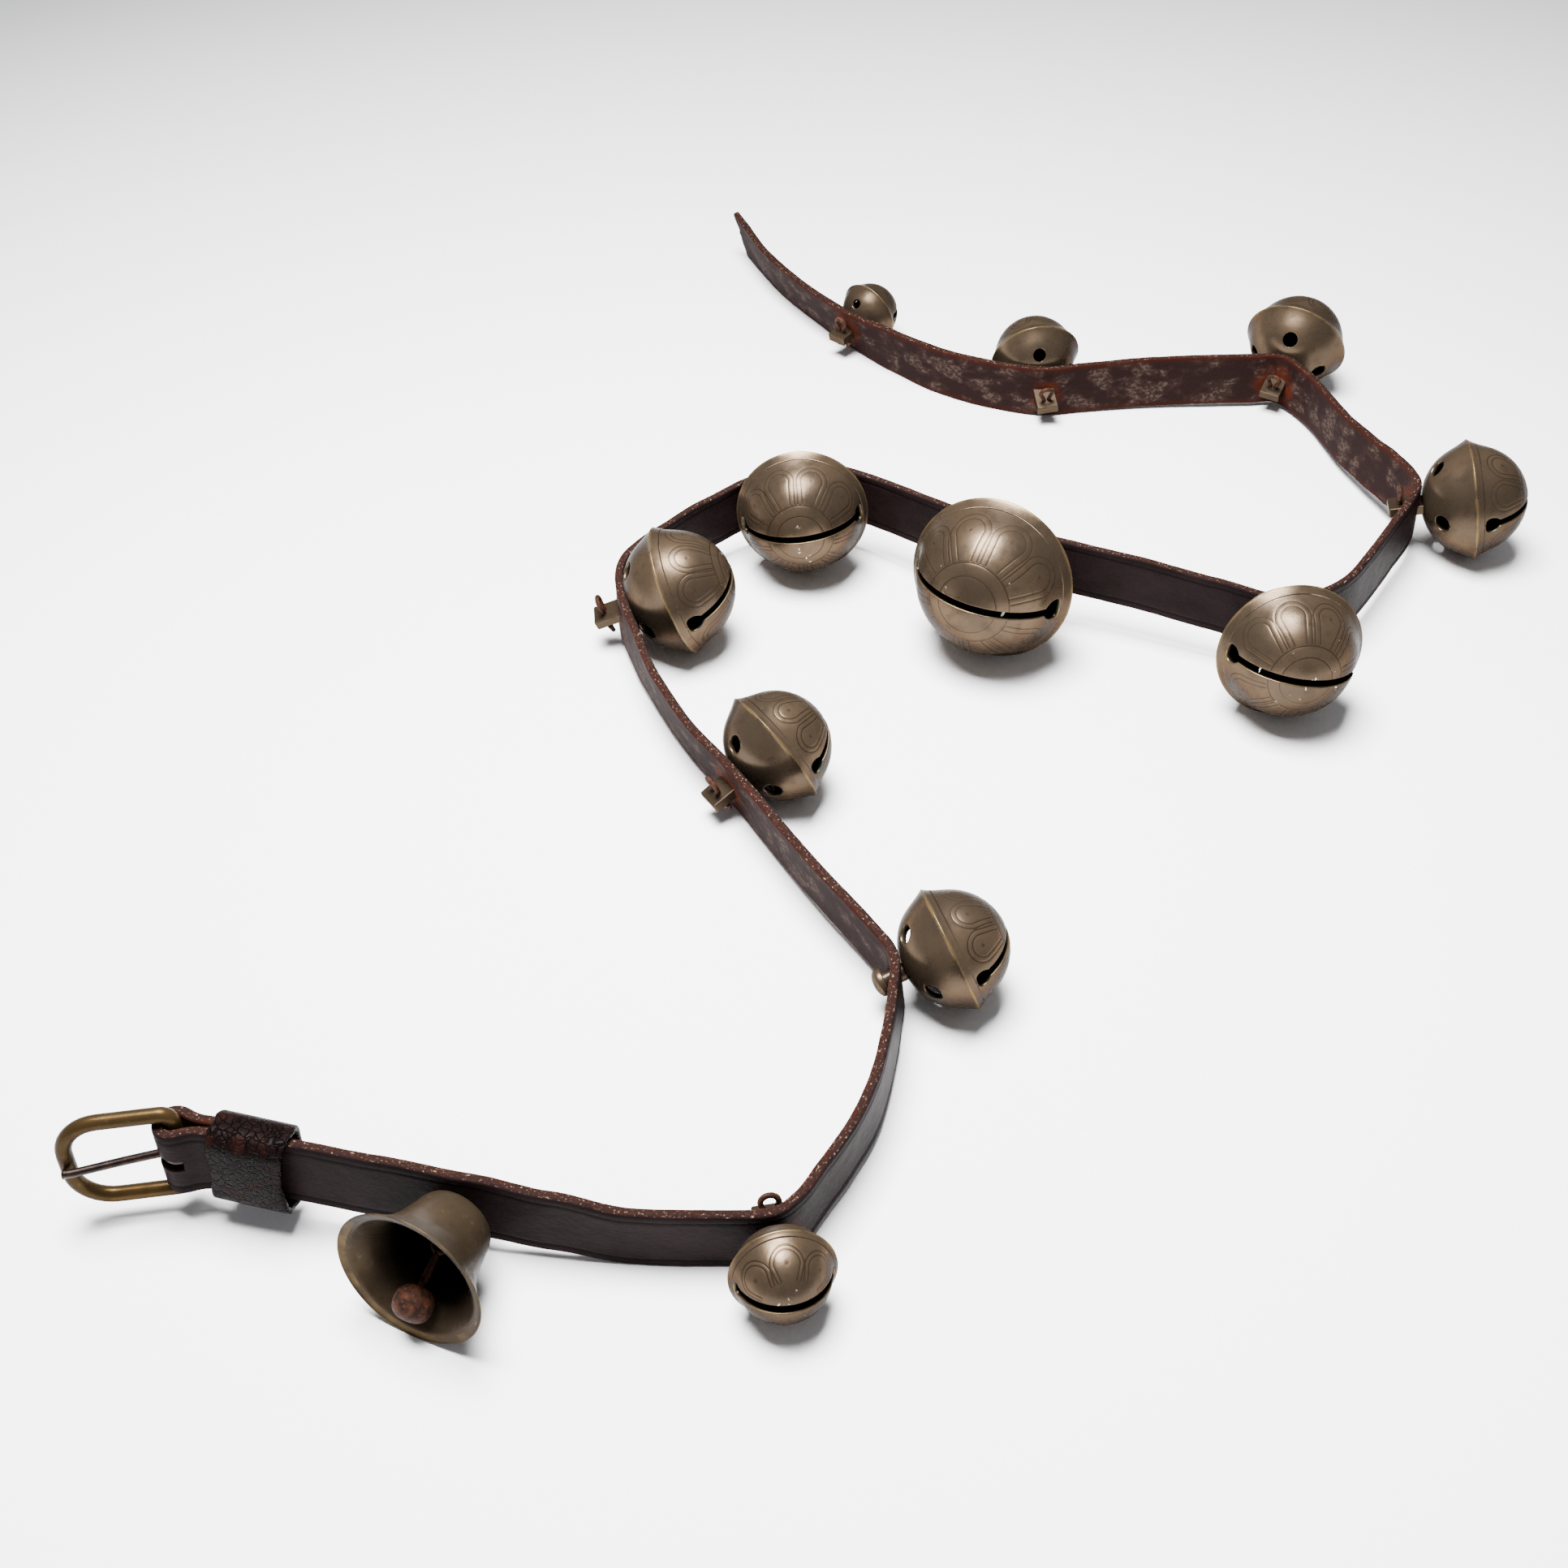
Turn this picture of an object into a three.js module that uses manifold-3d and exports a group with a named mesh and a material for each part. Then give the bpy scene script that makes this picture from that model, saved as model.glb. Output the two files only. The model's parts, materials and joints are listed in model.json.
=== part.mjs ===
// Sleigh bell strap: eleven graduated crotal bells and one open bell on a buckled leather strap.
// Millimetres, +Z up. The strap stands on its edge in loose bends, as it lies when put down.
import * as THREE from 'three';
import { mergeVertices } from 'three/addons/utils/BufferGeometryUtils.js';
import Module from 'manifold-3d';

const wasm = await Module();
wasm.setup();

const degrees = Math.PI / 180;
const quarterTurn = Math.PI / 2;

// Clearances
const seatGap = 0.3; // between two pieces that touch
const slotGap = 0.4; // round a shank where it passes through the leather
const mergeDistance = 1e-4;

// Searches for where a piece comes to rest
const searchRounds = 40; // halvings
const seatRounds = 12;
const leastTilt = -40; // of a bell, in degrees
const mostTilt = 60;

// The strap's lie, without the buckle end
const layWidth = 435.5; // from the keeper to the furthest bend
const layDepth = 676.3; // from the nearest bend to the tip

// Leather strap
const strapWidth = 25.4;
const strapThickness = 3.5;
const strapBevel = 0.8;
const sectionStep = 25; // longest run between two cross-sections
const layerGap = 0.6; // between the strap and its turned-back end
const chapeSpread = 0.9; // extra parting of the two layers where they leave the keeper
const chapeShare = 0.1; // how far the turned-back end reaches along its last stretch
const tornLength = 8; // the lower corner of the tip is torn back by this much

// Buckle
const buckleWire = 5;
const buckleLength = 33.6; // from the bar to the front of the frame, wire middle to wire middle
const railPlay = 0.8; // between a rail and the edge of the strap
const frontCorner = 12;
const barCorner = 3.5;
const frontSteps = 6; // facets round a corner
const barSteps = 3;
const wireSides = 8;
const barPlay = 0.5; // round the bar in its fold of leather
const tongueWire = 2.8;
const tongueTip = 2.4; // how far the tongue reaches past the front of the frame
const tongueBow = 1.8;
const tongueKnob = 1.25; // swelling of the tip, as a multiple of the wire
const tongueSides = 6;
const tongueSteps = 8;
const eyeSides = 14;
const knobFacets = [8, 5];
const tongueSlotPlay = 0.9;
const slotSides = 24;
const slotSegments = 6;
const tongueSlotBack = -60; // where the tongue's slot starts and ends round the fold, in degrees
const tongueSlotFront = 115;
const foldAngles = [-90, -45, 0, 45, 90]; // points round the fold, in degrees
const foldHeading = 170; // the way the fold points in plan, in degrees
const buckleHeading = 189;

// Keeper: a wide leather loop round both layers
const keeperLength = 24.5;
const keeperWall = 2;
const keeperPlayHigh = 1.6;
const keeperPlayDeep = 3.1;
const keeperCorner = 3;
const keeperSegments = 4;
const keeperHeading = -12;
const keeperOffset = 1.1; // towards the bell side
const keeperStation = 1.12; // the point of its stretch that it is centred on
const keeperHang = 0.4; // above the upper edge of the strap

// Crotal bells: shares are of the ridge radius
const bellWall = 2;
const mouthDepth = 0.914; // ridge plane to the slit side pole
const crownDepth = 0.77; // ridge plane to the shank side pole
const bodyRadius = 0.9;
const ridgeRoot = 0.16; // half the height of the ridge where it flares from the body
const ridgeRootRadius = 0.905;
const ridgeFlank = 0.06;
const ridgeFlankRadius = 0.955;
const mouthAngles = [0, 28, 54]; // facets of the two domes, from the slit side pole, in degrees
const crownAngles = [128, 180];
const slitWidth = 3;
const keyholeAngle = 73; // from the slit side pole, in degrees
const keyholeRadius = 0.125;
const soundHoleAngle = 48; // from the shank side pole, in degrees
const soundHoleRadius = 0.145;
const drillStart = 0.5; // reach of a drill through the wall
const drillStop = 1.1;
const shankRoot = 0.5; // how deep the shank is rooted in the wall, as a share of it
const shoulder = 1.2; // free shank between the bell and the strap
const tabWidth = 10.5;
const tabThickness = 4.5;
const tabTail = 5.2; // brass behind the cotter hole
const pinEase = 3.5; // from the back of the strap to the cotter of a bell that stands square to it
const postRadius = 3.2; // the round shank of a riveted bell
const pelletShare = 0.12; // pellet radius as a share of the ridge diameter
const bellSides = 14;
const cavitySides = 10;
const cavityStep = 45; // between two points of the cavity's profile, in degrees
const drillSides = 7;
const roundSides = 12; // of posts, stems and their holes
const pelletFacets = [7, 5];

// Cotter pins
const cotterWire = 1.3;
const cotterEye = 2.5;
const cotterSplit = 0.3; // between the two legs
const cotterLeg = 2.4; // leg below the shank before it bends out
const cotterCurl = 3.4;
const cotterSides = 4;
const cotterSteps = 20;

// Rivet cap of the riveted bell
const capRadius = 5;
const capHeight = 4.2;
const capBore = 2.4;
const domeAngles = [0, 30, 60, 90];
const capEase = 1.2; // room for the bend of the strap under the cap

// Open bell
const openMouth = 24.6;
const openLength = 28.5;
const openWall = 1.6;
const openShoulder = 12.6;
const openWaist = 14.4;
const openFlareWall = 2; // slant of the flared mouth, in walls
const openThroatWall = 1.4;
const openCrownWall = 1.6;
const openFlareDepth = 0.1; // depths of the profile's points, as shares of the length
const openThroatDepth = 0.33;
const openWaistDepth = 0.58;
const openShoulderDepth = 0.86;
const openCrownDepth = 0.98;
const openCrownShare = 0.55; // of the shoulder's radius
const openSides = 20;
const stemRadius = 1.9;
const stemEye = 2.6;
const stemEyeWire = 0.9;
const hangerDepth = 19; // from the mouth plane to the middle of the eye
const burrRadius = 5.5;
const burrHeight = 2;
const headRadius = 3.2;
const headHeight = 1.6;
const clapperArm = 21;
const clapperRadius = 6.3;
const clapperEye = 2.4;
const clapperWire = 0.9;
const headTaper = 0.7; // of the stem's peened head and its burr, towards the back
const headEdge = 0.8;
const burrTaper = 0.92;
const armTaper = 1.5; // the arm's lower end, in wires
const ringSides = 5;
const armSides = 8;
const bobFacets = [12, 7];
const clapperFlat = 0.86; // height of the iron bob as a share of its width

// The stretch that the keeper holds: x and y in plan, height of the lower edge, lean in degrees
const keeperStretch = [
  [-178, -198.2, 12.4, 5],
  [-162.5, -199.2, 11.4, 5],
  [-149, -201.2, 10.6, 5],
];

// The rest of the strap's route, in the same form. The last value, where there is one, names the bell there.
const strapRoute = [
  [-121, -206.2, 8.9, 5],
  [-94.2, -210.7, 6.4, 5, 'open'],
  [-70, -214.6, 3.5, 3],
  [-46, -217.6, 0, 0],
  [-24, -218.3, 0, 0],
  [-3, -217.2, 0, 0, '01'],
  [4, -213, 1.5, 0],
  [12, -201.5, 2.5, 0],
  [20.5, -188, 3, 0],
  [28.5, -171, 3, 3],
  [34, -150, 3, 4],
  [37.3, -130, 2.5, 5],
  [38.3, -114, 1.6, 7, '02'],
  [31.5, -101.5, 3, 9],
  [12, -72, 4, 10],
  [-4, -43.5, 2.5, 10],
  [-20, -14.5, 0.5, 11, '03'],
  [-33, 4, 2, 13],
  [-49, 34, 3, 10],
  [-62, 68, 4, 3],
  [-69, 92, 4.6, 1, '04'],
  [-70, 105, 5, 0],
  [-67, 116, 5.5, 0],
  [-55, 131, 6.8, 0],
  [-35, 150, 9, 0],
  [-12, 167, 11, 0],
  [9, 174, 13.5, 2, '05'],
  [32, 164.5, 15, 0],
  [53, 149, 16, 0],
  [77, 131, 16.5, 0],
  [100, 117, 16.4, 0, '06'],
  [146, 98, 15.3, -1],
  [179, 83.5, 14, -1],
  [203, 73.5, 12.3, 2, '07'],
  [213, 74, 10.6, 2],
  [222, 79.5, 9.4, 3],
  [238, 92, 8.4, 5],
  [252.5, 111, 8, 6],
  [268, 134, 8.2, 6],
  [280, 152, 8.4, 6],
  [286.5, 166, 8.3, 4, '08'],
  [285.5, 180, 7.5, 0],
  [282, 192, 6.8, -2],
  [276, 211, 5.3, 0],
  [270, 233, 3.7, 2],
  [265.5, 259, 2.4, 3],
  [260, 279, 1.8, 0],
  [251.5, 292.8, 1.6, -4, '09'],
  [239, 292.6, 1.6, -8],
  [217, 292, 1.5, -9],
  [186, 290.5, 1, -8],
  [152, 286, 0.4, -6],
  [131, 282.5, 0.4, -4, '10'],
  [104, 290, 0.5, 0],
  [79, 304, 0.3, 4],
  [56, 325, 0.3, 10],
  [35, 348, 0.3, 18, '11'],
  [14, 379, 0.3, 21],
  [-5.5, 414, 0.3, 19],
  [-22.5, 458, 0.3, 14],
];

// Crotal bells: ridge diameter, the way each one faces in plan and its turn about its own axis, in degrees
const crotals = [
  { label: '01', ridge: 33, facing: -80, turn: 0 },
  { label: '02', ridge: 45.5, facing: 17, turn: -8, riveted: true },
  { label: '03', ridge: 48.5, facing: 34, turn: -2 },
  { label: '04', ridge: 56, facing: 4, turn: 6 },
  { label: '05', ridge: 58.5, facing: -92, turn: 8 },
  { label: '06', ridge: 70.5, facing: -116, turn: -4 },
  { label: '07', ridge: 59, facing: -88, turn: -7 },
  { label: '08', ridge: 54, facing: -8, turn: -2 },
  { label: '09', ridge: 51.5, facing: 60, turn: 4 },
  { label: '10', ridge: 45, facing: 98, turn: -9 },
  { label: '11', ridge: 33.5, facing: 47, turn: 0 },
];
const openFacing = -115.5;

// Finishes
const brass = { color: 0x7d6c4c, roughness: 0.45, metalness: 0.9 };
const buckleBrass = { color: 0x8a7040, roughness: 0.4, metalness: 0.9 };
const rustyIron = { color: 0x4a382c, roughness: 0.8, metalness: 0.4 };
const steel = { color: 0x4c4845, roughness: 0.5, metalness: 0.8 };
const strapLeather = { color: 0x2b2220, roughness: 0.6, metalness: 0 };
const keeperLeather = { color: 0x1d1817, roughness: 0.4, metalness: 0 };

const assembly = new THREE.Group();

function solid(geometry, matrix = new THREE.Matrix4()) {
  const plain = geometry.clone().applyMatrix4(matrix);
  plain.deleteAttribute('normal');
  plain.deleteAttribute('uv');
  const merged = mergeVertices(plain, mergeDistance);
  const corners = merged.index.array;
  const faces = [];
  for (let i = 0; i < corners.length; i += 3) {
    const face = [corners[i], corners[i + 1], corners[i + 2]];
    if (new Set(face).size === 3) {
      faces.push(face);
    }
  }
  const outward = signedVolume(merged.attributes.position, faces) > 0;
  const ordered = outward ? faces : faces.map((face) => face.toReversed());
  return new wasm.Manifold(new wasm.Mesh({
    numProp: 3,
    vertProperties: new Float32Array(merged.attributes.position.array),
    triVerts: new Uint32Array(ordered.flat()),
  }));
}

function signedVolume(position, faces) {
  const [a, b, c] = [new THREE.Vector3(), new THREE.Vector3(), new THREE.Vector3()];
  let sum = 0;
  for (const face of faces) {
    a.fromBufferAttribute(position, face[0]);
    b.fromBufferAttribute(position, face[1]);
    c.fromBufferAttribute(position, face[2]);
    sum += a.dot(b.cross(c));
  }
  return sum;
}

function addPiece(name, body, finish, matrix = new THREE.Matrix4()) {
  const shell = body.getMesh();
  const geometry = new THREE.BufferGeometry();
  geometry.setAttribute('position', new THREE.BufferAttribute(shell.vertProperties, shell.numProp));
  geometry.setIndex(new THREE.BufferAttribute(shell.triVerts, 1));
  geometry.computeVertexNormals();
  const piece = new THREE.Mesh(geometry, new THREE.MeshStandardMaterial(finish));
  piece.name = name;
  matrix.decompose(piece.position, piece.quaternion, piece.scale);
  assembly.add(piece);
}

// Skin over a row of cross-sections, each a ring of the same number of points
function loft(rings, closed = false) {
  const size = rings[0].length;
  const last = (rings.length - 1) * size;
  const index = [];
  const spans = closed ? rings.length : rings.length - 1;
  for (let i = 0; i < spans; i += 1) {
    const from = i * size;
    const to = ((i + 1) % rings.length) * size;
    for (let j = 0; j < size; j += 1) {
      const k = (j + 1) % size;
      index.push(from + j, from + k, to + k, from + j, to + k, to + j);
    }
  }
  for (let j = 1; j < size - 1 && !closed; j += 1) {
    index.push(0, j + 1, j, last, last + j, last + j + 1);
  }
  const geometry = new THREE.BufferGeometry();
  geometry.setFromPoints(rings.flat());
  geometry.setIndex(index);
  return geometry;
}

function headingVector(angle, length = 1) {
  return new THREE.Vector3(Math.cos(angle * degrees), Math.sin(angle * degrees), 0).multiplyScalar(length);
}

// A frame whose Z axis is the given upward direction, with X along a heading in plan
function turnedAbout(place, heading, up) {
  const across = up.clone().cross(headingVector(heading)).normalize();
  return new THREE.Matrix4().makeBasis(across.clone().cross(up), across, up).setPosition(place);
}

function roundWire(diameter, sides, curve, steps) {
  const section = new THREE.Shape();
  for (let i = 0; i < sides; i += 1) {
    const angle = (2 * Math.PI * i) / sides;
    const point = [Math.cos(angle) * diameter / 2, Math.sin(angle) * diameter / 2];
    if (i === 0) {
      section.moveTo(...point);
    } else {
      section.lineTo(...point);
    }
  }
  section.closePath();
  return new THREE.ExtrudeGeometry(section, { steps, extrudePath: curve });
}

// A slot's cutter goes right through a bent strap
const slotDepth = 4 * strapThickness;

// Route of the strap: turned-back end, fold round the buckle bar, then the strap to its tip
const barRadius = buckleWire / 2;
const foldRadius = barRadius + barPlay + strapThickness / 2;
const barRise = keeperStretch[0][2];
const backward = headingVector(foldHeading - 90);
const layerPitch = strapThickness + layerGap;
const barPlace = new THREE.Vector3(...keeperStretch[0].slice(0, 2), barRise + strapWidth / 2)
  .add(headingVector(foldHeading, foldRadius + layerPitch / 2))
  .addScaledVector(backward, layerPitch / 2);

function behind([x, y, rise, lean], distance) {
  return [x + backward.x * distance, y + backward.y * distance, rise, lean];
}

function between(from, to, share) {
  return from.map((value, i) => THREE.MathUtils.lerp(value, to[i], share));
}

const chapeEnd = between(keeperStretch[1], keeperStretch[2], chapeShare);
const chapeRoute = [
  behind(chapeEnd, layerPitch),
  behind(keeperStretch[1], layerPitch),
  behind(keeperStretch[0], layerPitch + chapeSpread),
];
const foldRoute = foldAngles.map((angle) => {
  const place = headingVector(foldHeading + angle, foldRadius).add(barPlace);
  return [place.x, place.y, barRise, 0];
});
// The strap's points, spread from the end of the keeper's stretch to the size of the lie
const [layX, layY] = keeperStretch[keeperStretch.length - 1];
const drawnX = strapRoute.map(([x]) => x);
const drawnY = strapRoute.map(([, y]) => y);
const widthScale = layWidth / (Math.max(...drawnX) - layX);
const depthScale = layDepth / (Math.max(...drawnY) - Math.min(...drawnY));
const laidRoute = strapRoute.map(([x, y, ...rest]) => [
  layX + (x - layX) * widthScale,
  layY + (y - layY) * depthScale,
  ...rest,
]);
const route = [...chapeRoute, ...foldRoute, ...keeperStretch, ...laidRoute];
const lastStation = route.length - 1;
const plan = new THREE.CatmullRomCurve3(
  route.map(([x, y]) => new THREE.Vector3(x, y, 0)),
  false,
  'centripetal',
);

// How far the upward direction leans at each point of the route.
// The fold leans as one with the stretch after it.
const foldEnd = chapeRoute.length + foldRoute.length;
const leans = route.map((point, i) => {
  const from = Math.max(i, foldEnd);
  const along = plan.getTangent(from / lastStation);
  return new THREE.Vector3(-along.y, along.x, 0).multiplyScalar(Math.tan(route[from][3] * degrees));
});

// The strap's middle, its length, bell side and upward directions at a place on the route
function strapFrame(station) {
  const before = Math.min(Math.floor(station), lastStation - 1);
  const share = THREE.MathUtils.smoothstep(station - before, 0, 1);
  const rise = THREE.MathUtils.lerp(route[before][2], route[before + 1][2], share);
  const up = leans[before].clone().lerp(leans[before + 1], share).setZ(1).normalize();
  const place = plan.getPoint(station / lastStation);
  const along = plan.getTangent(station / lastStation);
  const side = along.clone().cross(up).normalize();
  place.z = rise + strapWidth / 2 * up.z + strapThickness / 2 * Math.abs(side.z);
  return { place, along, side, up };
}

function strapSection(station, cutBack = 0) {
  const { place, along, side, up } = strapFrame(station);
  const halfWide = strapWidth / 2;
  const halfThick = strapThickness / 2;
  const corners = [
    [halfWide, halfThick - strapBevel],
    [halfWide - strapBevel, halfThick],
    [strapBevel - halfWide, halfThick],
    [-halfWide, halfThick - strapBevel],
    [-halfWide, strapBevel - halfThick],
    [strapBevel - halfWide, -halfThick],
    [halfWide - strapBevel, -halfThick],
    [halfWide, strapBevel - halfThick],
  ];
  return corners.map(([high, wide]) => place.clone()
    .addScaledVector(up, high)
    .addScaledVector(side, wide)
    .addScaledVector(along, -cutBack * (halfWide - high) / strapWidth));
}

function strapBlank() {
  const rings = [];
  for (let i = 0; i < lastStation; i += 1) {
    const run = Math.hypot(route[i + 1][0] - route[i][0], route[i + 1][1] - route[i][1]);
    const steps = Math.ceil(run / sectionStep);
    for (let k = 0; k < steps; k += 1) {
      rings.push(strapSection(i + k / steps));
    }
  }
  rings.push(strapSection(lastStation, tornLength));
  return solid(loft(rings));
}

// Profiles of the bells: radius and height along the axis, from the mouth to the strap side
function crotalProfile(ridge) {
  const radius = ridge / 2;
  const arc = (angle, depth) => new THREE.Vector2(
    radius * bodyRadius * Math.sin(angle * degrees),
    radius * depth * Math.cos(angle * degrees),
  );
  const mouthSide = mouthAngles.map((angle) => arc(angle, mouthDepth));
  const crownSide = crownAngles.map((angle) => arc(angle, crownDepth));
  const ridgeLip = [
    [ridgeRootRadius, ridgeRoot],
    [ridgeFlankRadius, ridgeFlank],
    [1, 0],
    [ridgeFlankRadius, -ridgeFlank],
    [ridgeRootRadius, -ridgeRoot],
  ].map(([across, along]) => new THREE.Vector2(radius * across, radius * along));
  return onAxisEnds([...mouthSide, ...ridgeLip, ...crownSide]);
}

function cavityProfile(ridge) {
  const radius = ridge / 2;
  const arc = (angle, depth) => new THREE.Vector2(
    (radius * bodyRadius - bellWall) * Math.sin(angle * degrees),
    (radius * depth - bellWall) * Math.cos(angle * degrees),
  );
  const profile = [];
  for (let angle = 0; angle <= 180; angle += cavityStep) {
    profile.push(arc(angle, angle < 90 ? mouthDepth : crownDepth));
  }
  return onAxisEnds(profile);
}

function onAxisEnds(profile) {
  profile[0].x = 0;
  profile[profile.length - 1].x = 0;
  return profile;
}

function revolve(profile, sides) {
  return solid(new THREE.LatheGeometry(profile, sides));
}

// A cylinder that pierces the wall of a bell, at an angle from the axis in a plane through it
function wallDrill(radius, share, angle, azimuth) {
  const length = radius * (drillStop - drillStart);
  const drill = new THREE.CylinderGeometry(radius * share, radius * share, length, drillSides);
  drill.translate(0, radius * (drillStart + drillStop) / 2, 0);
  drill.rotateZ(-angle);
  drill.rotateY(azimuth);
  return solid(drill);
}

// How a bell sits: it stands off the leather by its shoulder and tips until it touches the table
function seatBell(station, facing, profile, turn = 0) {
  const strap = strapFrame(station);
  let tilt = 0;
  let reach = 0;
  let axis = headingVector(facing);
  for (let round = 0; round < seatRounds; round += 1) {
    const skew = axis.angleTo(strap.side);
    const depth = Math.max(...profile.map((p) => p.x * Math.sin(skew) - p.y * Math.cos(skew)));
    reach = (strapThickness / 2 + shoulder + depth) / Math.cos(skew);
    tilt = restTilt(profile, strap.place.z, reach);
    axis = headingVector(facing, Math.cos(tilt)).setZ(Math.sin(tilt));
  }
  const across = headingVector(facing - 90).applyAxisAngle(axis, turn * degrees);
  const upward = across.clone().cross(axis);
  const middle = strap.place.clone().addScaledVector(axis, reach);
  const matrix = new THREE.Matrix4().makeBasis(across, axis, upward).setPosition(middle);
  return { matrix, reach, tilt, skew: axis.angleTo(strap.side) };
}

function restTilt(profile, height, reach) {
  let low = leastTilt * degrees;
  let high = mostTilt * degrees;
  for (let round = 0; round < searchRounds; round += 1) {
    const tilt = (low + high) / 2;
    const drop = Math.max(...profile.map((p) => p.x * Math.cos(tilt) - p.y * Math.sin(tilt)));
    if (height + reach * Math.sin(tilt) > drop) {
      high = tilt;
    } else {
      low = tilt;
    }
  }
  return (low + high) / 2;
}

function stationOf(label) {
  return route.findIndex(([, , , , bell]) => bell === label);
}

function box(width, height, depth, x, y, z) {
  return solid(new THREE.BoxGeometry(width, height, depth).translate(x, y, z));
}

// One cast crotal: ridged shell, slit with keyhole ends, four sound holes and the shank
function crotalShell(bell, reach, tail) {
  const radius = bell.ridge / 2;
  const shankTop = bellWall * shankRoot - radius * crownDepth;
  const keyX = radius * bodyRadius * Math.sin(keyholeAngle * degrees);
  const keyY = radius * mouthDepth * Math.cos(keyholeAngle * degrees);
  const keyTilt = Math.atan2(keyX, keyY);
  const holeX = radius * bodyRadius * Math.sin(soundHoleAngle * degrees);
  const holeY = radius * crownDepth * Math.cos(soundHoleAngle * degrees);
  const holeTilt = Math.PI - Math.atan2(holeX, holeY);
  let shell = revolve(crotalProfile(bell.ridge), bellSides);
  const cavity = new THREE.LatheGeometry(cavityProfile(bell.ridge), cavitySides, Math.PI / cavitySides);
  shell = shell.subtract(solid(cavity));
  shell = shell.subtract(box(2 * keyX, radius - keyY, slitWidth, 0, (radius + keyY) / 2, 0));
  for (const quarter of [0, 1, 2, 3]) {
    const azimuth = quarter * quarterTurn;
    shell = shell.subtract(wallDrill(radius, soundHoleRadius, holeTilt, azimuth));
    if (quarter % 2 === 0) {
      shell = shell.subtract(wallDrill(radius, keyholeRadius, keyTilt, azimuth));
    }
  }
  const shankLength = reach + tail + shankTop;
  if (bell.riveted) {
    const post = new THREE.CylinderGeometry(postRadius, postRadius, shankLength, roundSides);
    return shell.add(solid(post.translate(0, shankTop - shankLength / 2, 0)));
  }
  const tab = box(tabWidth, shankLength, tabThickness, 0, shankTop - shankLength / 2, 0);
  const pinHole = new THREE.CylinderGeometry(pinHoleRadius, pinHoleRadius, 2 * tabThickness, drillSides);
  pinHole.rotateX(quarterTurn).translate(0, tabTail - reach - tail, 0);
  return shell.add(tab).subtract(solid(pinHole));
}

const legOffset = (cotterWire + cotterSplit) / 2;
const cotterReach = legOffset + cotterCurl + cotterWire / 2; // to the side, at its bent legs
const pinHoleRadius = (legOffset + cotterWire / 2 + seatGap) / Math.cos(Math.PI / drillSides);

// A cotter: an eye above the shank, two legs through it, bent apart below
function cotterPin(standOff) {
  const top = tabThickness / 2;
  const eyeMiddle = top + cotterEye + cotterWire;
  const bend = top + cotterLeg;
  const halfRoute = [
    [0, eyeMiddle + cotterEye],
    [cotterEye * Math.SQRT1_2, eyeMiddle + cotterEye * Math.SQRT1_2],
    [cotterEye, eyeMiddle],
    [cotterEye * Math.SQRT1_2, eyeMiddle - cotterEye * Math.SQRT1_2],
    [legOffset, top],
    [legOffset, -top],
    [legOffset + cotterWire, -bend],
    [legOffset + cotterCurl / 2, -bend - cotterWire],
    [legOffset + cotterCurl, -bend + cotterWire],
  ];
  const mirrored = halfRoute.slice(1).map(([x, z]) => [-x, z]);
  const wholeRoute = [...mirrored.toReversed(), ...halfRoute];
  const points = wholeRoute.map(([x, z]) => new THREE.Vector3(x, -standOff, z));
  return solid(roundWire(cotterWire, cotterSides, new THREE.CatmullRomCurve3(points), cotterSteps));
}

// Least distance from a point to a wall's profile
function wallDistance(wall, point) {
  const spot = new THREE.Vector3(point.x, point.y, 0);
  const nearest = new THREE.Vector3();
  return Math.min(...wall.slice(1).map((to, i) => {
    const from = wall[i];
    const stretch = new THREE.Line3(new THREE.Vector3(from.x, from.y, 0), new THREE.Vector3(to.x, to.y, 0));
    return stretch.closestPointToPoint(spot, true, nearest).distanceTo(spot);
  }));
}

// The largest value, up to a limit, at which a moving point still keeps its distance from a wall
function furthestFree(wall, distance, limit, pointAt) {
  let free = 0;
  let blocked = limit;
  for (let round = 0; round < searchRounds; round += 1) {
    const value = (free + blocked) / 2;
    if (wallDistance(wall, pointAt(value)) > distance) {
      free = value;
    } else {
      blocked = value;
    }
  }
  return free;
}

// The pellet lies on the wall straight below the middle of its bell
function pelletPlace(bell, tilt, radius) {
  const flats = Math.cos(Math.PI / cavitySides);
  const wall = cavityProfile(bell.ridge).map((p) => new THREE.Vector2(p.x * flats, p.y));
  const below = (drop) => new THREE.Vector2(Math.cos(tilt), -Math.sin(tilt)).multiplyScalar(drop);
  return below(furthestFree(wall, radius + seatGap, bell.ridge / 2, below));
}

function rivetCap(standOff) {
  const bore = postRadius + seatGap;
  const dome = domeAngles.map((angle) => new THREE.Vector2(
    capRadius * Math.sin(angle * degrees),
    -standOff - capHeight / 2 - capHeight / 2 * Math.cos(angle * degrees),
  ));
  dome[0].x = 0;
  return revolve([
    ...dome,
    new THREE.Vector2(capRadius, -standOff),
    new THREE.Vector2(bore, -standOff),
    new THREE.Vector2(bore, -standOff - capBore),
    new THREE.Vector2(0, -standOff - capBore),
  ], roundSides);
}

let strap = strapBlank();

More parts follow.
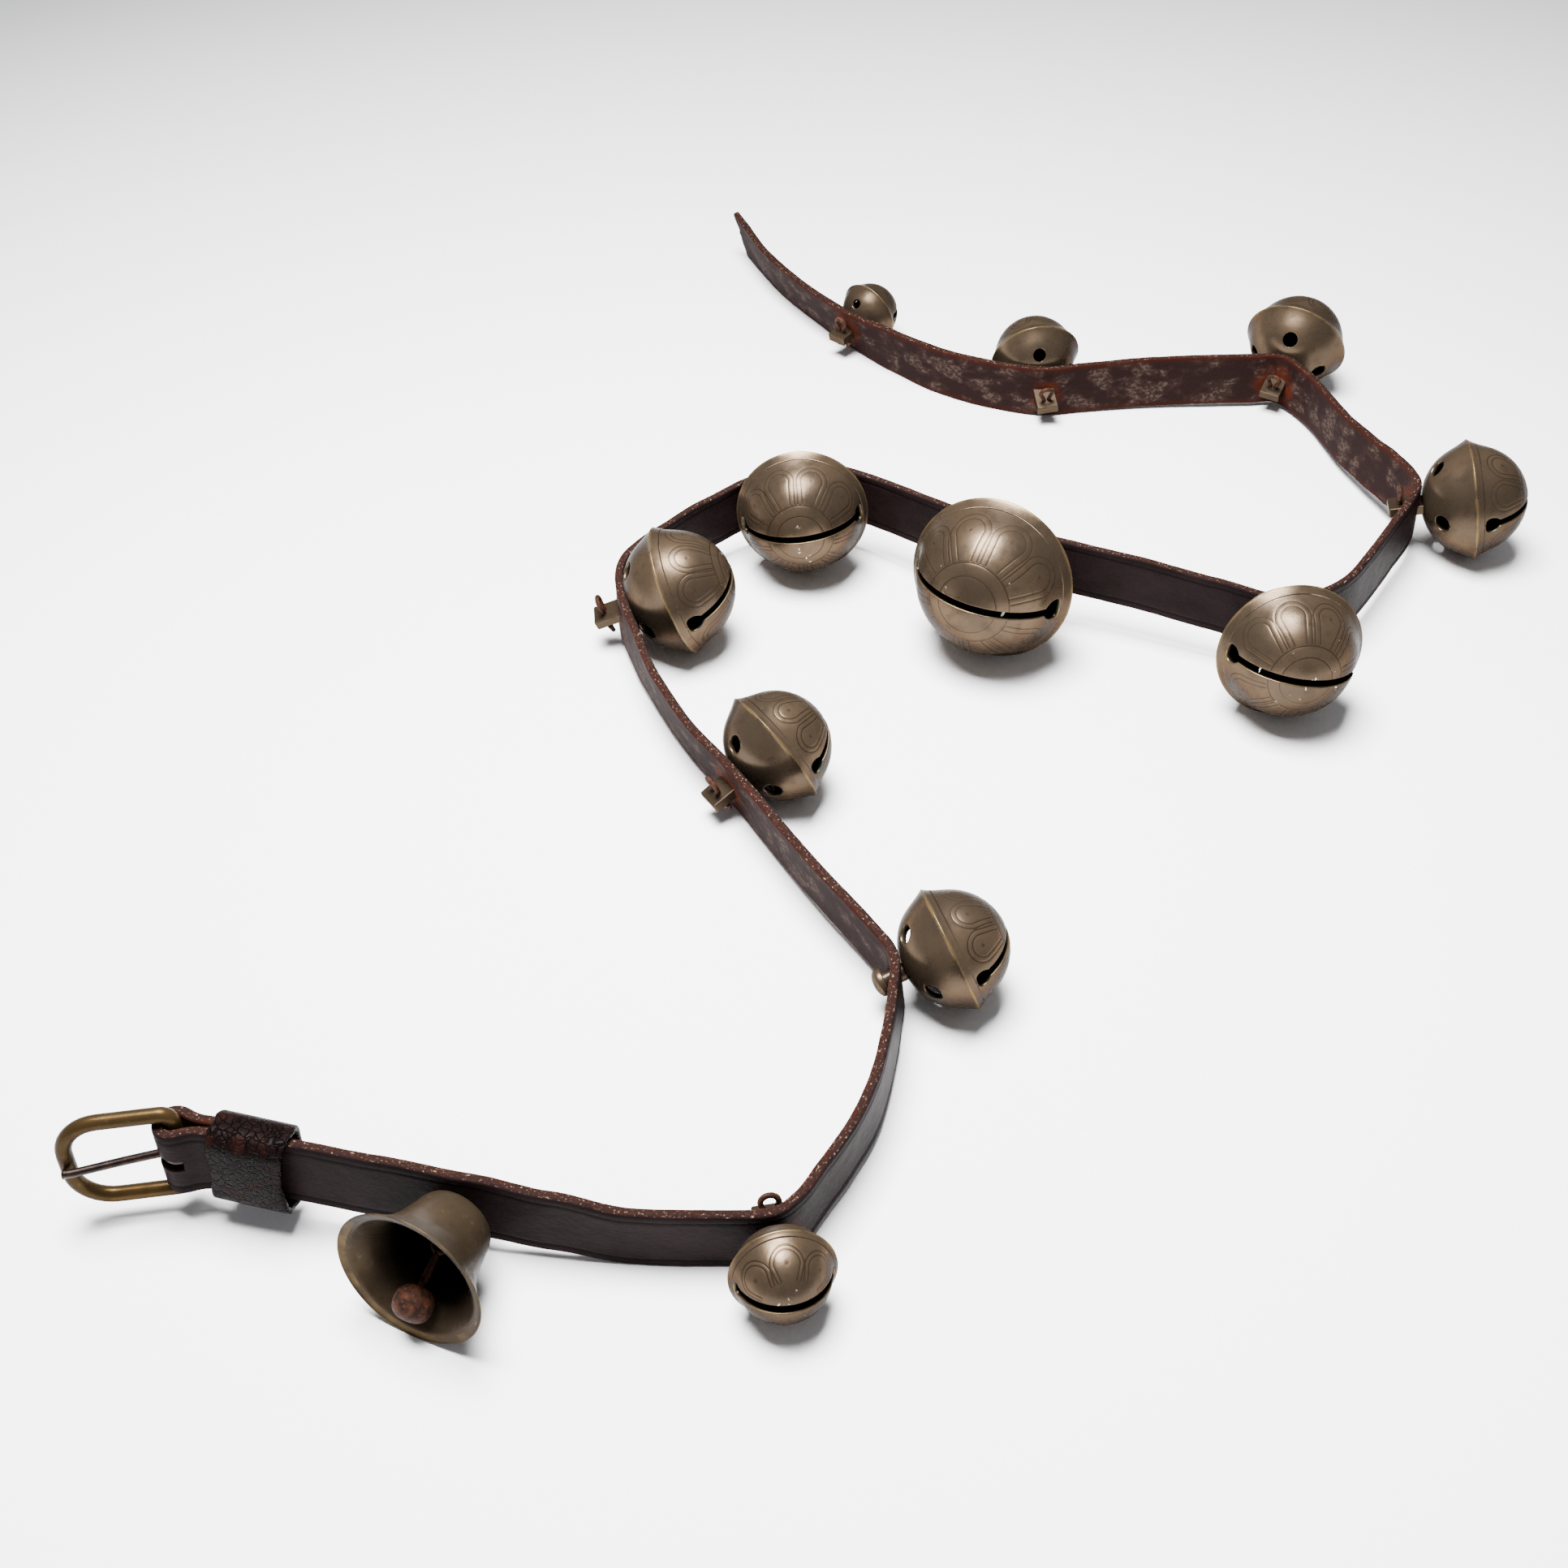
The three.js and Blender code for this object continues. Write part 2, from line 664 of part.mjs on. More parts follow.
for (const bell of crotals) {
  const seat = seatBell(stationOf(bell.label), bell.facing, crotalProfile(bell.ridge), bell.turn);
  const backFace = seat.reach + strapThickness / 2;
  const capStand = backFace + capRadius * Math.tan(seat.skew) + capEase;
  const pinStand = backFace + cotterReach * Math.tan(seat.skew) + pinEase;
  const tail = bell.riveted
    ? capStand + capBore - seatGap - seat.reach
    : pinStand + tabTail - seat.reach;
  addPiece(`crotal_${bell.label}`, crotalShell(bell, seat.reach, tail), brass, seat.matrix);
  const slot = bell.riveted
    ? new THREE.CylinderGeometry(postRadius + slotGap, postRadius + slotGap, slotDepth, roundSides)
    : new THREE.BoxGeometry(tabWidth + 2 * slotGap, slotDepth, tabThickness + 2 * slotGap);
  strap = strap.subtract(solid(slot.translate(0, -seat.reach, 0), seat.matrix));
  if (bell.riveted) {
    addPiece(`rivet_cap_${bell.label}`, rivetCap(capStand), brass, seat.matrix);
  } else {
    addPiece(`cotter_${bell.label}`, cotterPin(pinStand), rustyIron, seat.matrix);
  }
  const radius = bell.ridge * pelletShare;
  const rest = pelletPlace(bell, seat.tilt, radius);
  const level = new THREE.Matrix4().makeRotationY(bell.turn * degrees);
  const pellet = new THREE.SphereGeometry(radius, ...pelletFacets);
  pellet.translate(0, rest.y, -rest.x).applyMatrix4(level);
  addPiece(`pellet_${bell.label}`, solid(pellet), rustyIron, seat.matrix);
}

// Open bell with its stem, burr and clapper
function openProfile() {
  return [
    [openMouth, 0],
    [openMouth - openWall * openFlareWall, openFlareDepth],
    [openWaist + openWall * openThroatWall, openThroatDepth],
    [openWaist, openWaistDepth],
    [openShoulder, openShoulderDepth],
    [openShoulder * openCrownShare, openCrownDepth],
    [stemRadius + seatGap, 1],
  ].map(([across, share]) => new THREE.Vector2(across, -openLength * share));
}

// The inside follows the outside at a wall's distance, down to the flat of the crown
function openCavity() {
  const floor = openWall - openLength;
  const inside = openProfile().map(({ x, y }) => new THREE.Vector2(x - openWall, Math.max(y, floor)));
  inside[inside.length - 2].y = openCrownWall * openWall - openLength;
  inside[inside.length - 1].x += openWall;
  return inside;
}

function torus(middle, wire, sides) {
  return new THREE.TorusGeometry(middle, wire, ringSides, sides);
}

// Angle of the clapper at which its bob lies against the wall of the bell
function clapperRest() {
  const flats = Math.cos(Math.PI / openSides);
  const wall = openCavity().map((p) => new THREE.Vector2(p.x * flats, p.y));
  return furthestFree(wall, clapperRadius + seatGap, quarterTurn, (angle) => new THREE.Vector2(
    clapperArm * Math.sin(angle),
    clapperArm * Math.cos(angle) - hangerDepth,
  ));
}

const openSeat = seatBell(stationOf('open'), openFacing, openProfile());
const openBack = openSeat.reach + strapThickness / 2;
const burrStand = openBack + burrRadius * Math.tan(openSeat.skew) + seatGap;
const stemEnd = burrStand + burrHeight + seatGap;
const openShell = [...openProfile(), ...openCavity().toReversed(), openProfile()[0]];
addPiece('open_bell', revolve(openShell, openSides), brass, openSeat.matrix);

const stemStart = hangerDepth + stemEye;
const shaftEnd = stemEnd + headHeight * headEdge; // the shaft runs on into its head
const stemShaft = new THREE.CylinderGeometry(stemRadius, stemRadius, shaftEnd - stemStart, roundSides);
stemShaft.translate(0, -(stemStart + shaftEnd) / 2, 0);
const stemRing = torus(stemEye, stemEyeWire, roundSides).rotateY(quarterTurn).translate(0, -hangerDepth, 0);
const stemHead = revolve([
  new THREE.Vector2(0, -stemEnd - headHeight),
  new THREE.Vector2(headRadius * headTaper, -shaftEnd),
  new THREE.Vector2(headRadius, -stemEnd),
  new THREE.Vector2(0, -stemEnd),
], roundSides);
addPiece('clapper_stem', solid(stemShaft).add(solid(stemRing)).add(stemHead), rustyIron, openSeat.matrix);

const burrRing = [
  [stemRadius + seatGap, -burrStand],
  [burrRadius, -burrStand],
  [burrRadius * burrTaper, -burrStand - burrHeight],
  [stemRadius + seatGap, -burrStand - burrHeight],
  [stemRadius + seatGap, -burrStand],
].map(([across, along]) => new THREE.Vector2(across, along));
addPiece('stem_burr', revolve(burrRing, roundSides), brass, openSeat.matrix);

const slotRadius = stemRadius + slotGap;
const stemSlot = new THREE.CylinderGeometry(slotRadius, slotRadius, slotDepth, roundSides);
strap = strap.subtract(solid(stemSlot.translate(0, -openSeat.reach, 0), openSeat.matrix));

const clapperRing = torus(clapperEye, clapperWire, roundSides).translate(0, stemEye, 0);
const armStart = stemEye + clapperEye;
const armLength = clapperArm - armStart;
const armShaft = new THREE.CylinderGeometry(clapperWire, clapperWire * armTaper, armLength, armSides);
armShaft.translate(0, (armStart + clapperArm) / 2, 0);
const bob = new THREE.SphereGeometry(clapperRadius, ...bobFacets);
bob.scale(1, clapperFlat, 1).translate(0, clapperArm, 0);
const clapperTurn = new THREE.Matrix4().makeRotationX(-clapperRest()).setPosition(0, -hangerDepth, 0);
addPiece(
  'clapper',
  solid(clapperRing).add(solid(armShaft)).add(solid(bob)),
  rustyIron,
  openSeat.matrix.clone().multiply(clapperTurn),
);

// Buckle: a frame of round wire and the tongue that turns on its bar
function buckleFrame() {
  const railHeight = strapWidth / 2 + railPlay + barRadius;
  const corners = [
    [buckleLength - frontCorner, railHeight - frontCorner, frontCorner, frontSteps],
    [barCorner, railHeight - barCorner, barCorner, barSteps],
    [barCorner, barCorner - railHeight, barCorner, barSteps],
    [buckleLength - frontCorner, frontCorner - railHeight, frontCorner, frontSteps],
  ];
  const rings = corners.flatMap(([x, z, radius, steps], turn) => Array.from({ length: steps + 1 }, (_, k) => {
    const angle = (turn + k / steps) * quarterTurn;
    const outward = new THREE.Vector3(Math.cos(angle), 0, Math.sin(angle));
    const middle = new THREE.Vector3(x, 0, z).addScaledVector(outward, radius);
    return Array.from({ length: wireSides }, (_unused, j) => {
      const around = 4 * quarterTurn * j / wireSides;
      return middle.clone()
        .addScaledVector(outward, barRadius * Math.cos(around))
        .setY(barRadius * Math.sin(around));
    });
  }));
  return solid(loft(rings, true));
}

function buckleTongue() {
  const wire = tongueWire / 2;
  const eye = barRadius + seatGap + wire;
  const overBar = barRadius + wire + seatGap;
  const curve = new THREE.CatmullRomCurve3([
    new THREE.Vector3(eye, 0, 0),
    new THREE.Vector3(buckleLength / 2, tongueBow, 0),
    new THREE.Vector3(buckleLength - barRadius, overBar, 0),
    new THREE.Vector3(buckleLength + tongueTip - wire, overBar, 0),
  ]);
  const knob = new THREE.SphereGeometry(wire * tongueKnob, ...knobFacets);
  knob.translate(buckleLength + tongueTip - wire, overBar + wire * (tongueKnob - 1), 0);
  return solid(torus(eye, wire, eyeSides))
    .add(solid(roundWire(tongueWire, tongueSides, curve, tongueSteps)))
    .add(solid(knob));
}

const barUp = strapFrame(foldEnd).up;
const buckleMatrix = turnedAbout(barPlace, buckleHeading, barUp);
addPiece('buckle_frame', buckleFrame(), buckleBrass, buckleMatrix);
addPiece('buckle_tongue', buckleTongue(), steel, buckleMatrix);

// Slot in the fold: room for the tongue's eye and for the tongue's sweep
const slotHeight = tongueWire + 2 * tongueSlotPlay;
const eyeReach = barRadius + seatGap + tongueWire + tongueSlotPlay;
const eyeRoom = new THREE.CylinderGeometry(eyeReach, eyeReach, slotHeight, slotSides).rotateX(quarterTurn);
const sweep = new THREE.Shape();
sweep.moveTo(0, 0);
sweep.absarc(0, 0, 2 * foldRadius, tongueSlotBack * degrees, tongueSlotFront * degrees, false);
sweep.closePath();
const sweepRoom = new THREE.ExtrudeGeometry(sweep, {
  depth: slotHeight,
  bevelEnabled: false,
  curveSegments: slotSegments,
});
sweepRoom.translate(0, 0, -slotHeight / 2);
const foldMatrix = turnedAbout(barPlace, foldHeading, barUp);
strap = strap.subtract(solid(eyeRoom, foldMatrix)).subtract(solid(sweepRoom, foldMatrix));
addPiece('strap', strap, strapLeather);

// Keeper: it hangs on the upper edge of the strap
function roundedRectangle(Kind, wide, high, corner) {
  const x = wide / 2 - corner;
  const y = high / 2 - corner;
  const outline = new Kind();
  outline.absarc(x, y, corner, 0, quarterTurn, false);
  outline.absarc(-x, y, corner, quarterTurn, 2 * quarterTurn, false);
  outline.absarc(-x, -y, corner, 2 * quarterTurn, 3 * quarterTurn, false);
  outline.absarc(x, -y, corner, 3 * quarterTurn, 4 * quarterTurn, false);
  outline.closePath();
  return outline;
}

const keeperDeep = 2 * strapThickness + layerGap + keeperPlayDeep;
const keeperHigh = strapWidth + keeperPlayHigh;
const keeperOutline = roundedRectangle(
  THREE.Shape,
  keeperDeep + 2 * keeperWall,
  keeperHigh + 2 * keeperWall,
  keeperCorner,
);
keeperOutline.holes.push(roundedRectangle(THREE.Path, keeperDeep, keeperHigh, keeperCorner - keeperWall / 2));
const keeperBand = new THREE.ExtrudeGeometry(keeperOutline, {
  depth: keeperLength,
  bevelEnabled: false,
  curveSegments: keeperSegments,
});
keeperBand.translate(0, 0, -keeperLength / 2).applyMatrix4(new THREE.Matrix4().makeBasis(
  new THREE.Vector3(0, 1, 0),
  new THREE.Vector3(0, 0, 1),
  new THREE.Vector3(1, 0, 0),
));
const held = strapFrame(foldEnd + keeperStation);
const keeperPlace = held.place.clone()
  .addScaledVector(held.side, keeperOffset - layerPitch / 2)
  .addScaledVector(held.up, strapWidth / 2 + keeperHang - keeperHigh / 2);
const [stretchStart, , stretchStop] = keeperStretch;
const fall = Math.atan2(stretchStart[2] - stretchStop[2], stretchStop[0] - stretchStart[0]);
const keeperMatrix = turnedAbout(keeperPlace, keeperHeading, held.up)
  .multiply(new THREE.Matrix4().makeRotationY(fall));
addPiece('keeper', solid(keeperBand), keeperLeather, keeperMatrix);

// The origin is under the middle of the object, on the table
const bounds = new THREE.Box3().setFromObject(assembly, true);
const middle = bounds.getCenter(new THREE.Vector3());
const sleighBellStrap = new THREE.Group();
assembly.position.set(-middle.x, -middle.y, -bounds.min.z);
sleighBellStrap.add(assembly);

export default sleighBellStrap;
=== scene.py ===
import json
import bmesh
import bpy
import numpy as np
from math import acos, asin, atan2, ceil, copysign, cos, dist, hypot, pi, radians, sin, sqrt, tan
from mathutils import Matrix, Vector


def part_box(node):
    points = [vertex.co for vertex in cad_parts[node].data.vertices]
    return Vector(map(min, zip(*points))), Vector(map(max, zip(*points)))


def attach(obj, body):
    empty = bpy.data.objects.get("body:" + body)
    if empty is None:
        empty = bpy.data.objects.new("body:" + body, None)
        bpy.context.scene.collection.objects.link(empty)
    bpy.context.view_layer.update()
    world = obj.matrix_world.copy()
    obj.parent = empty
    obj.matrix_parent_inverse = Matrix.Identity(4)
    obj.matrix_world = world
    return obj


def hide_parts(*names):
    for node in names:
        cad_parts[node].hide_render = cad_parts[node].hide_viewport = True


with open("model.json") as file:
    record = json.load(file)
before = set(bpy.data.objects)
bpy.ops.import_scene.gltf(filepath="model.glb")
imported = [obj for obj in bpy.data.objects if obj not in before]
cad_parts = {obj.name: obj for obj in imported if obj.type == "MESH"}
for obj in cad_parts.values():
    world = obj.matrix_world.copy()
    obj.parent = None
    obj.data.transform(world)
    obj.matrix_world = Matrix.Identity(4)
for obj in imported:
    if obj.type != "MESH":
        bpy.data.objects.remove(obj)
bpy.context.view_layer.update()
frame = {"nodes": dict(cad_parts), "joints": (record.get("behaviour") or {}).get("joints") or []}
nodes = frame["nodes"]
joints = {joint["name"]: joint for joint in frame["joints"]}
mm = 0.001
weld, sliver = 0.004 * mm, 0.002 * mm  # points this near are made one, faces this thin are dropped
wholeStrap = "strap_with_bells"  # the body that everything fixed to the leather rides on


def linear(code):
    channels = [int(code[i:i + 2], 16) / 255 for i in (1, 3, 5)]
    return [c / 12.92 if c <= 0.04045 else ((c + 0.055) / 1.055) ** 2.4 for c in channels] + [1.0]


# adds one node with its settings and links, and gives the output that is wanted; a kind is given without its
# family, and inputs go by name or in the order of the sockets
def add(tree, kind, inputs=(), out=0, **settings):
    families = ("GeometryNode", "ShaderNode", "FunctionNode", "Node")
    made = tree.nodes.new(next(family + kind for family in families if hasattr(bpy.types, family + kind)))
    for name, value in settings.items():
        setattr(made, name, value)
    for socket, value in inputs.items() if isinstance(inputs, dict) else enumerate(inputs):
        if isinstance(value, bpy.types.NodeSocket):
            tree.links.new(value, made.inputs[socket])
        else:
            made.inputs[socket].default_value = value
    return made.outputs[out] if made.outputs else made


# a new material and its tree, the places on its piece, and noise by its size in millimetres
def newMaterial(name, sizes=(), detail=4.0):
    material = bpy.data.materials.new(name)
    material.use_nodes = True
    tree = material.node_tree
    tree.nodes.clear()
    place = add(tree, "TexCoord", out="Object") if sizes else None
    noise = {size: add(tree, "TexNoise", {"Vector": place, "Scale": 1 / (size * mm), "Detail": detail})
             for size in sizes}
    return material, tree, place, noise


# lays colours over a ground, each where its pattern rises from a low to a high value
def layered(tree, ground, *layers):
    colour = linear(ground)
    for pattern, low, high, share, tint in layers:
        mask = add(tree, "MapRange", (pattern, low, high, 0.0, share), interpolation_type="SMOOTHSTEP")
        colour = add(tree, "Mix", {0: mask, 6: colour, 7: linear(tint)}, 2, data_type="RGBA")
    return colour


# the shader of a material, with its relief as a bump of some strength and depth
def coat(tree, sockets, relief=None, strength=0.0, depth=0.0):
    if strength:
        bump = add(tree, "Bump", {"Height": relief, "Strength": strength, "Distance": depth * mm})
        sockets = {**sockets, "Normal": bump}
    bsdf = add(tree, "BsdfPrincipled", sockets)
    add(tree, "OutputMaterial", {"Surface": bsdf})


# a coat whose colours follow noise alone, the finest of it also its grain
def plainCoat(name, sizes, detail, ground, layers, sockets, strength=0.0, depth=0.0):
    material, tree, _, noise = newMaterial(name, sizes, detail)
    colour = layered(tree, ground, *((noise[size], *layer) for size, *layer in layers))
    coat(tree, {"Base Color": colour, **sockets}, noise[sizes[-1]], strength, depth)
    return material


# cast brass, turned smooth and left to tarnish: brown with a broad soft sheen, bare where it is rubbed,
# dark in the engraved lines, with verdigris at the holes, a few specks of old paint and painted shade inside
def tarnishedBrass(name, ground, warm, stain, metallic, rough):
    material, tree, place, noise = newMaterial(name, (24, 6, 2.4, 0.9))  # clouds, stains, verdigris, pits
    specks = add(tree, "TexNoise", {"Vector": place, "Scale": 1 / (4.5 * mm), "Detail": 6.0, "Roughness": 0.72})
    spots = {label: add(tree, "Attribute", out="Fac", attribute_name=label)
             for label in ("petalLine", "baseLine", "prick", "inside", "rubbed", "hole", "throat")}
    lines = spots["prick"]
    for label in ("petalLine", "baseLine"):  # the middle of a line is where its value is one
        near = add(tree, "Math", (spots[label], 1.0), operation="PINGPONG")
        near = add(tree, "MapRange", (near, 0.64, 0.9), interpolation_type="SMOOTHSTEP")
        lines = add(tree, "Math", (near, lines), operation="MAXIMUM")
    fade = add(tree, "MapRange", (noise[24], 0.35, 0.6, 0.4, 1.0))
    # the lines are worn thin in places, and wear and verdigris are uneven
    lines, worn, green = (
        add(tree, "Math", (first, second), operation="MULTIPLY")
        for first, second in ((lines, fade), (spots["rubbed"], noise[6]), (spots["hole"], noise[2.4])))
    specks = add(tree, "Math", (spots["throat"], 0.1, specks), operation="MULTIPLY_ADD")
    colour = layered(
        tree, ground,
        (noise[24], 0.35, 0.65, 1.0, warm),
        (noise[6], 0.5, 0.72, 0.5, stain),
        (noise[2.4], 0.6, 0.75, 0.3, "#4a4636"),
        (worn, 0.25, 0.5, 0.4, "#776440"),
        (green, 0.36, 0.6, 0.7, "#355046"),
        (lines, 0.0, 1.0, 0.65, "#171009"),
        (specks, 0.72, 0.745, 0.8, "#d4d0c4"),
        # painted shade: near black where the inside value is high, within the bells, in the drilled holes and
        # into the slit; smaller values on the shank blocks and rivet cap darken them all over
        (spots["inside"], 0.0, 1.0, 1.0, "#060504"))
    relief = add(tree, "Math", (noise[0.9], 0.2, noise[6]), operation="MULTIPLY_ADD")
    relief = add(tree, "Math", (lines, -0.8, relief), operation="MULTIPLY_ADD")
    sheen = add(tree, "MapRange", (noise[6], 0.3, 0.7, rough - 0.05, rough + 0.08))
    coat(tree, {"Base Color": colour, "Roughness": sheen, "Metallic": metallic, "Specular IOR Level": 0.12,
                "Specular Tint": linear("#665848")}, relief, 0.16, 0.5)
    return material


# bridle leather, blackened with wax: a smooth dark grain side towards the bells, a brown flesh side with a
# pale bloom behind, and edges worn back to red-brown fibre with light scuffs
def bridleLeather():
    material, tree, _, _ = newMaterial("waxedBridleLeather")
    along, across, depth, crease, rust = (add(tree, "Attribute", out="Fac", attribute_name=label)
                                          for label in ("along", "across", "depth", "crease", "rust"))
    drawn = add(tree, "Math", (along, 0.7), operation="MULTIPLY")
    place = add(tree, "CombineXYZ", (drawn, across, depth))  # marks run along the strap
    noise = {size: add(tree, "TexNoise",
                       {"Vector": place, "Scale": 1 / (size * mm), "Detail": 5.0, "Roughness": 0.62})
             for size in (16, 9, 4, 1.6, 0.8)}
    back = add(tree, "MapRange", (depth, 0.5 * mm, -0.5 * mm))
    edge = add(tree, "Math", (across,), operation="ABSOLUTE")
    ragged = add(tree, "Math", (noise[4], 2.4 * mm, edge), operation="MULTIPLY_ADD")
    margin = add(tree, "MapRange", (ragged, 10.2 * mm, 13.6 * mm))
    cut = add(tree, "Math", (edge, 12.4 * mm), operation="GREATER_THAN")
    patches = add(tree, "MapRange", (noise[9], 0.44, 0.58), interpolation_type="SMOOTHSTEP")
    stain, scuffs, bloom, rusty = (
        add(tree, "Math", (first, second), operation="MULTIPLY")
        for first, second in ((margin, back), (cut, noise[0.8]), (back, patches), (rust, noise[4])))
    grey = add(tree, "Math", (bloom, noise[1.6]), operation="MULTIPLY")
    colour = layered(
        tree, "#120a0a",
        (noise[16], 0.35, 0.65, 1.0, "#191011"),
        (noise[4], 0.62, 0.8, 0.3, "#271a18"),
        (back, 0.0, 1.0, 1.0, "#190f0e"),
        (bloom, 0.0, 1.0, 0.45, "#2a1e1b"),
        (grey, 0.44, 0.62, 0.45, "#4c4038"),
        (stain, 0.1, 0.8, 0.75, "#270e08"),
        (ragged, 13.4 * mm, 14.0 * mm, 0.9, "#1a0f0c"),
        (scuffs, 0.5, 0.6, 0.5, "#32201a"),
        (scuffs, 0.6, 0.68, 0.6, "#84715f"),
        (rusty, 0.12, 0.5, 0.75, "#431a0b"),
        (crease, 0.0, 1.0, 0.75, "#060404"))
    relief = add(tree, "Math", (noise[1.6], 0.8, noise[4]), operation="MULTIPLY_ADD")
    matt = add(tree, "Math", (back, margin), operation="MAXIMUM")
    rough = add(tree, "MapRange", (matt, 0.0, 1.0, 0.5, 0.75))
    coat(tree, {"Base Color": colour, "Roughness": rough, "Specular IOR Level": 0.025}, relief, 0.4, 0.5)
    return material


# thin leather under old black dressing, which has cracked into glossy scales
def crackedLeather():
    material, tree, place, noise = newMaterial("crackedDressedLeather", (6, 1.4))
    sway = add(tree, "TexNoise", {"Vector": place, "Scale": 1 / (3 * mm), "Detail": 3.0}, "Color")
    bent = add(tree, "VectorMath", (sway, (3 * mm,) * 3, place), operation="MULTIPLY_ADD")
    cracks = add(tree, "TexVoronoi", {"Vector": bent, "Scale": 1 / (2.5 * mm)}, feature="DISTANCE_TO_EDGE")
    scale = add(tree, "MapRange", (cracks, 0.0, 0.12), interpolation_type="SMOOTHSTEP")
    colour = layered(tree, "#040202", (scale, 0.1, 0.9, 1.0, "#0b0505"), (noise[6], 0.5, 0.7, 0.6, "#1d0c07"),
                     (noise[1.4], 0.66, 0.76, 0.4, "#37261f"))
    relief = add(tree, "Math", (noise[1.4], 0.4, scale), operation="MULTIPLY_ADD")
    rough = add(tree, "MapRange", (noise[6], 0.3, 0.7, 0.25, 0.5))
    coat(tree, {"Base Color": colour, "Roughness": rough, "Specular IOR Level": 0.02}, relief, 0.8, 0.4)
    return material


bellBrass = tarnishedBrass("tarnishedCastBrass", "#40362c", "#4d4033", "#352b23", 0.7, 0.29)
openBrass = tarnishedBrass("tarnishedSpunBrass", "#2d251c", "#372d22", "#231d16", 0.45, 0.34)
buckleBrass = tarnishedBrass("rubbedBuckleBrass", "#322717", "#40301b", "#231a0f", 0.5, 0.3)
# forged steel gone dark with handling: near black, a dull gleam on its rubbed back
steel = plainCoat("darkForgedSteel", (3, 0.8), 4.0, "#160e0c",
                  ((3, 0.35, 0.68, 1.0, "#2a1c17"), (0.8, 0.55, 0.75, 0.2, "#2a140c")),
                  {"Roughness": 0.42, "Metallic": 0.8}, 0.15, 0.3)
# wrought iron under a coat of rust: brown to orange, matt and grainy
iron = plainCoat("rustedWroughtIron", (2.6, 1.1, 0.6), 5.0, "#190d08",
                 ((2.6, 0.36, 0.66, 1.0, "#3a2014"), (1.1, 0.56, 0.72, 0.6, "#57301a")),
                 {"Roughness": 0.7, "Metallic": 0.1, "Specular IOR Level": 0.1}, 0.5, 0.5)
# waxed linen thread, brown with age
thread = plainCoat("waxedLinenThread", (0.6,), 3.0, "#5a4837", ((0.6, 0.35, 0.65, 1.0, "#8d7a60"),),
                   {"Roughness": 0.7})
leather = bridleLeather()
keeperLeather = crackedLeather()
print("materials ready")


def heading(angle):
    return np.array([cos(radians(angle)), sin(radians(angle)), 0.0])


def unit(v):
    return np.asarray(v, dtype=float) / np.linalg.norm(v)


# places given in a piece's own three directions
def placed(points, frameOf):
    origin, first, second, third = frameOf
    points = np.asarray(points)
    return origin + points[:, :1] * first + points[:, 1:2] * second + points[:, 2:3] * third


world = np.zeros(3), *np.eye(3)


def linked(name, data):
    made = bpy.data.objects.new(name, data)
    bpy.context.scene.collection.objects.link(made)
    return made


def paintPoints(mesh, label, values):
    values = np.broadcast_to(np.asarray(values, dtype=np.float32), len(mesh.vertices))
    mesh.attributes.new(label, "FLOAT", "POINT").data.foreach_set("value", values)


# an object at the origin from points in millimetres and their faces, with values for the points by name
def makePiece(name, shape, frameOf, material, paint=None, smooth=True):
    points, faces = shape
    mesh = bpy.data.meshes.new(name)
    mesh.from_pydata([tuple(p) for p in placed(points, frameOf) * mm], [], faces)
    for label, values in (paint or {}).items():
        paintPoints(mesh, label, values)
    shell = bmesh.new()
    shell.from_mesh(mesh)
    bmesh.ops.remove_doubles(shell, verts=shell.verts, dist=weld)
    bmesh.ops.dissolve_degenerate(shell, edges=shell.edges, dist=sliver)
    bmesh.ops.recalc_face_normals(shell, faces=shell.faces)
    for face in shell.faces:
        face.smooth = smooth
    shell.to_mesh(mesh)
    shell.free()
    mesh.materials.append(material)
    return linked(name, mesh)


def finishPiece(piece, body, slot, *stands):
    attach(piece, body)
    if stands:
        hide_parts(*stands)
    return piece


# faces between rings of points, each ring closed on itself; the two ends are closed if asked
def ringFaces(rings, around, capped=False, loop=False):
    faces = []
    for i in range(rings if loop else rings - 1):
        low, high = i * around, (i + 1) % rings * around
        faces += [(low + j, low + (j + 1) % around, high + (j + 1) % around, high + j) for j in range(around)]
    if capped:
        faces.append(tuple(range(around))[::-1])
        faces.append(tuple(range((rings - 1) * around, rings * around)))
    return faces


def fullTurn(sides):
    return np.linspace(0, 2 * pi, sides, endpoint=False)


# rings of a round bar along a route, with a radius for each of its points
def roundBar(route, radii, sides, loop=False):
    route = np.asarray(route, dtype=float)
    along = np.roll(route, -1, 0) - np.roll(route, 1, 0) if loop else np.gradient(route, axis=0)
    along /= np.linalg.norm(along, axis=1)[:, None]
    side = np.cross(along[0], (0, 0, 1) if abs(along[0][2]) < 0.9 else (1, 0, 0))
    points = []
    for middle, ahead, radius in zip(route, along, np.broadcast_to(radii, len(route))):
        side = unit(side - ahead * side.dot(ahead))
        other = np.cross(ahead, side)
        points += [middle + radius * (cos(t) * side + sin(t) * other) for t in fullTurn(sides)]
    return points, ringFaces(len(route), sides, capped=not loop, loop=loop)


def wireRing(middle, radius, wire, first, second, steps=36, sides=12):
    middle, first, second = np.array((middle, first, second))
    route = [middle + radius * (cos(t) * first + sin(t) * second) for t in fullTurn(steps)]
    return roundBar(route, wire, sides, loop=True)


# rings round the second axis from a profile of radius and height
def lathe(profile, sides, loop=False):
    points = [(r * cos(t), y, r * sin(t)) for r, y in profile for t in fullTurn(sides)]
    return points, ringFaces(len(profile), sides, loop=loop)


def joined(*parts):
    points, faces = [], []
    for morePoints, moreFaces in parts:
        faces += [tuple(i + len(points) for i in face) for face in moreFaces]
        points += [tuple(p) for p in morePoints]
    return points, faces


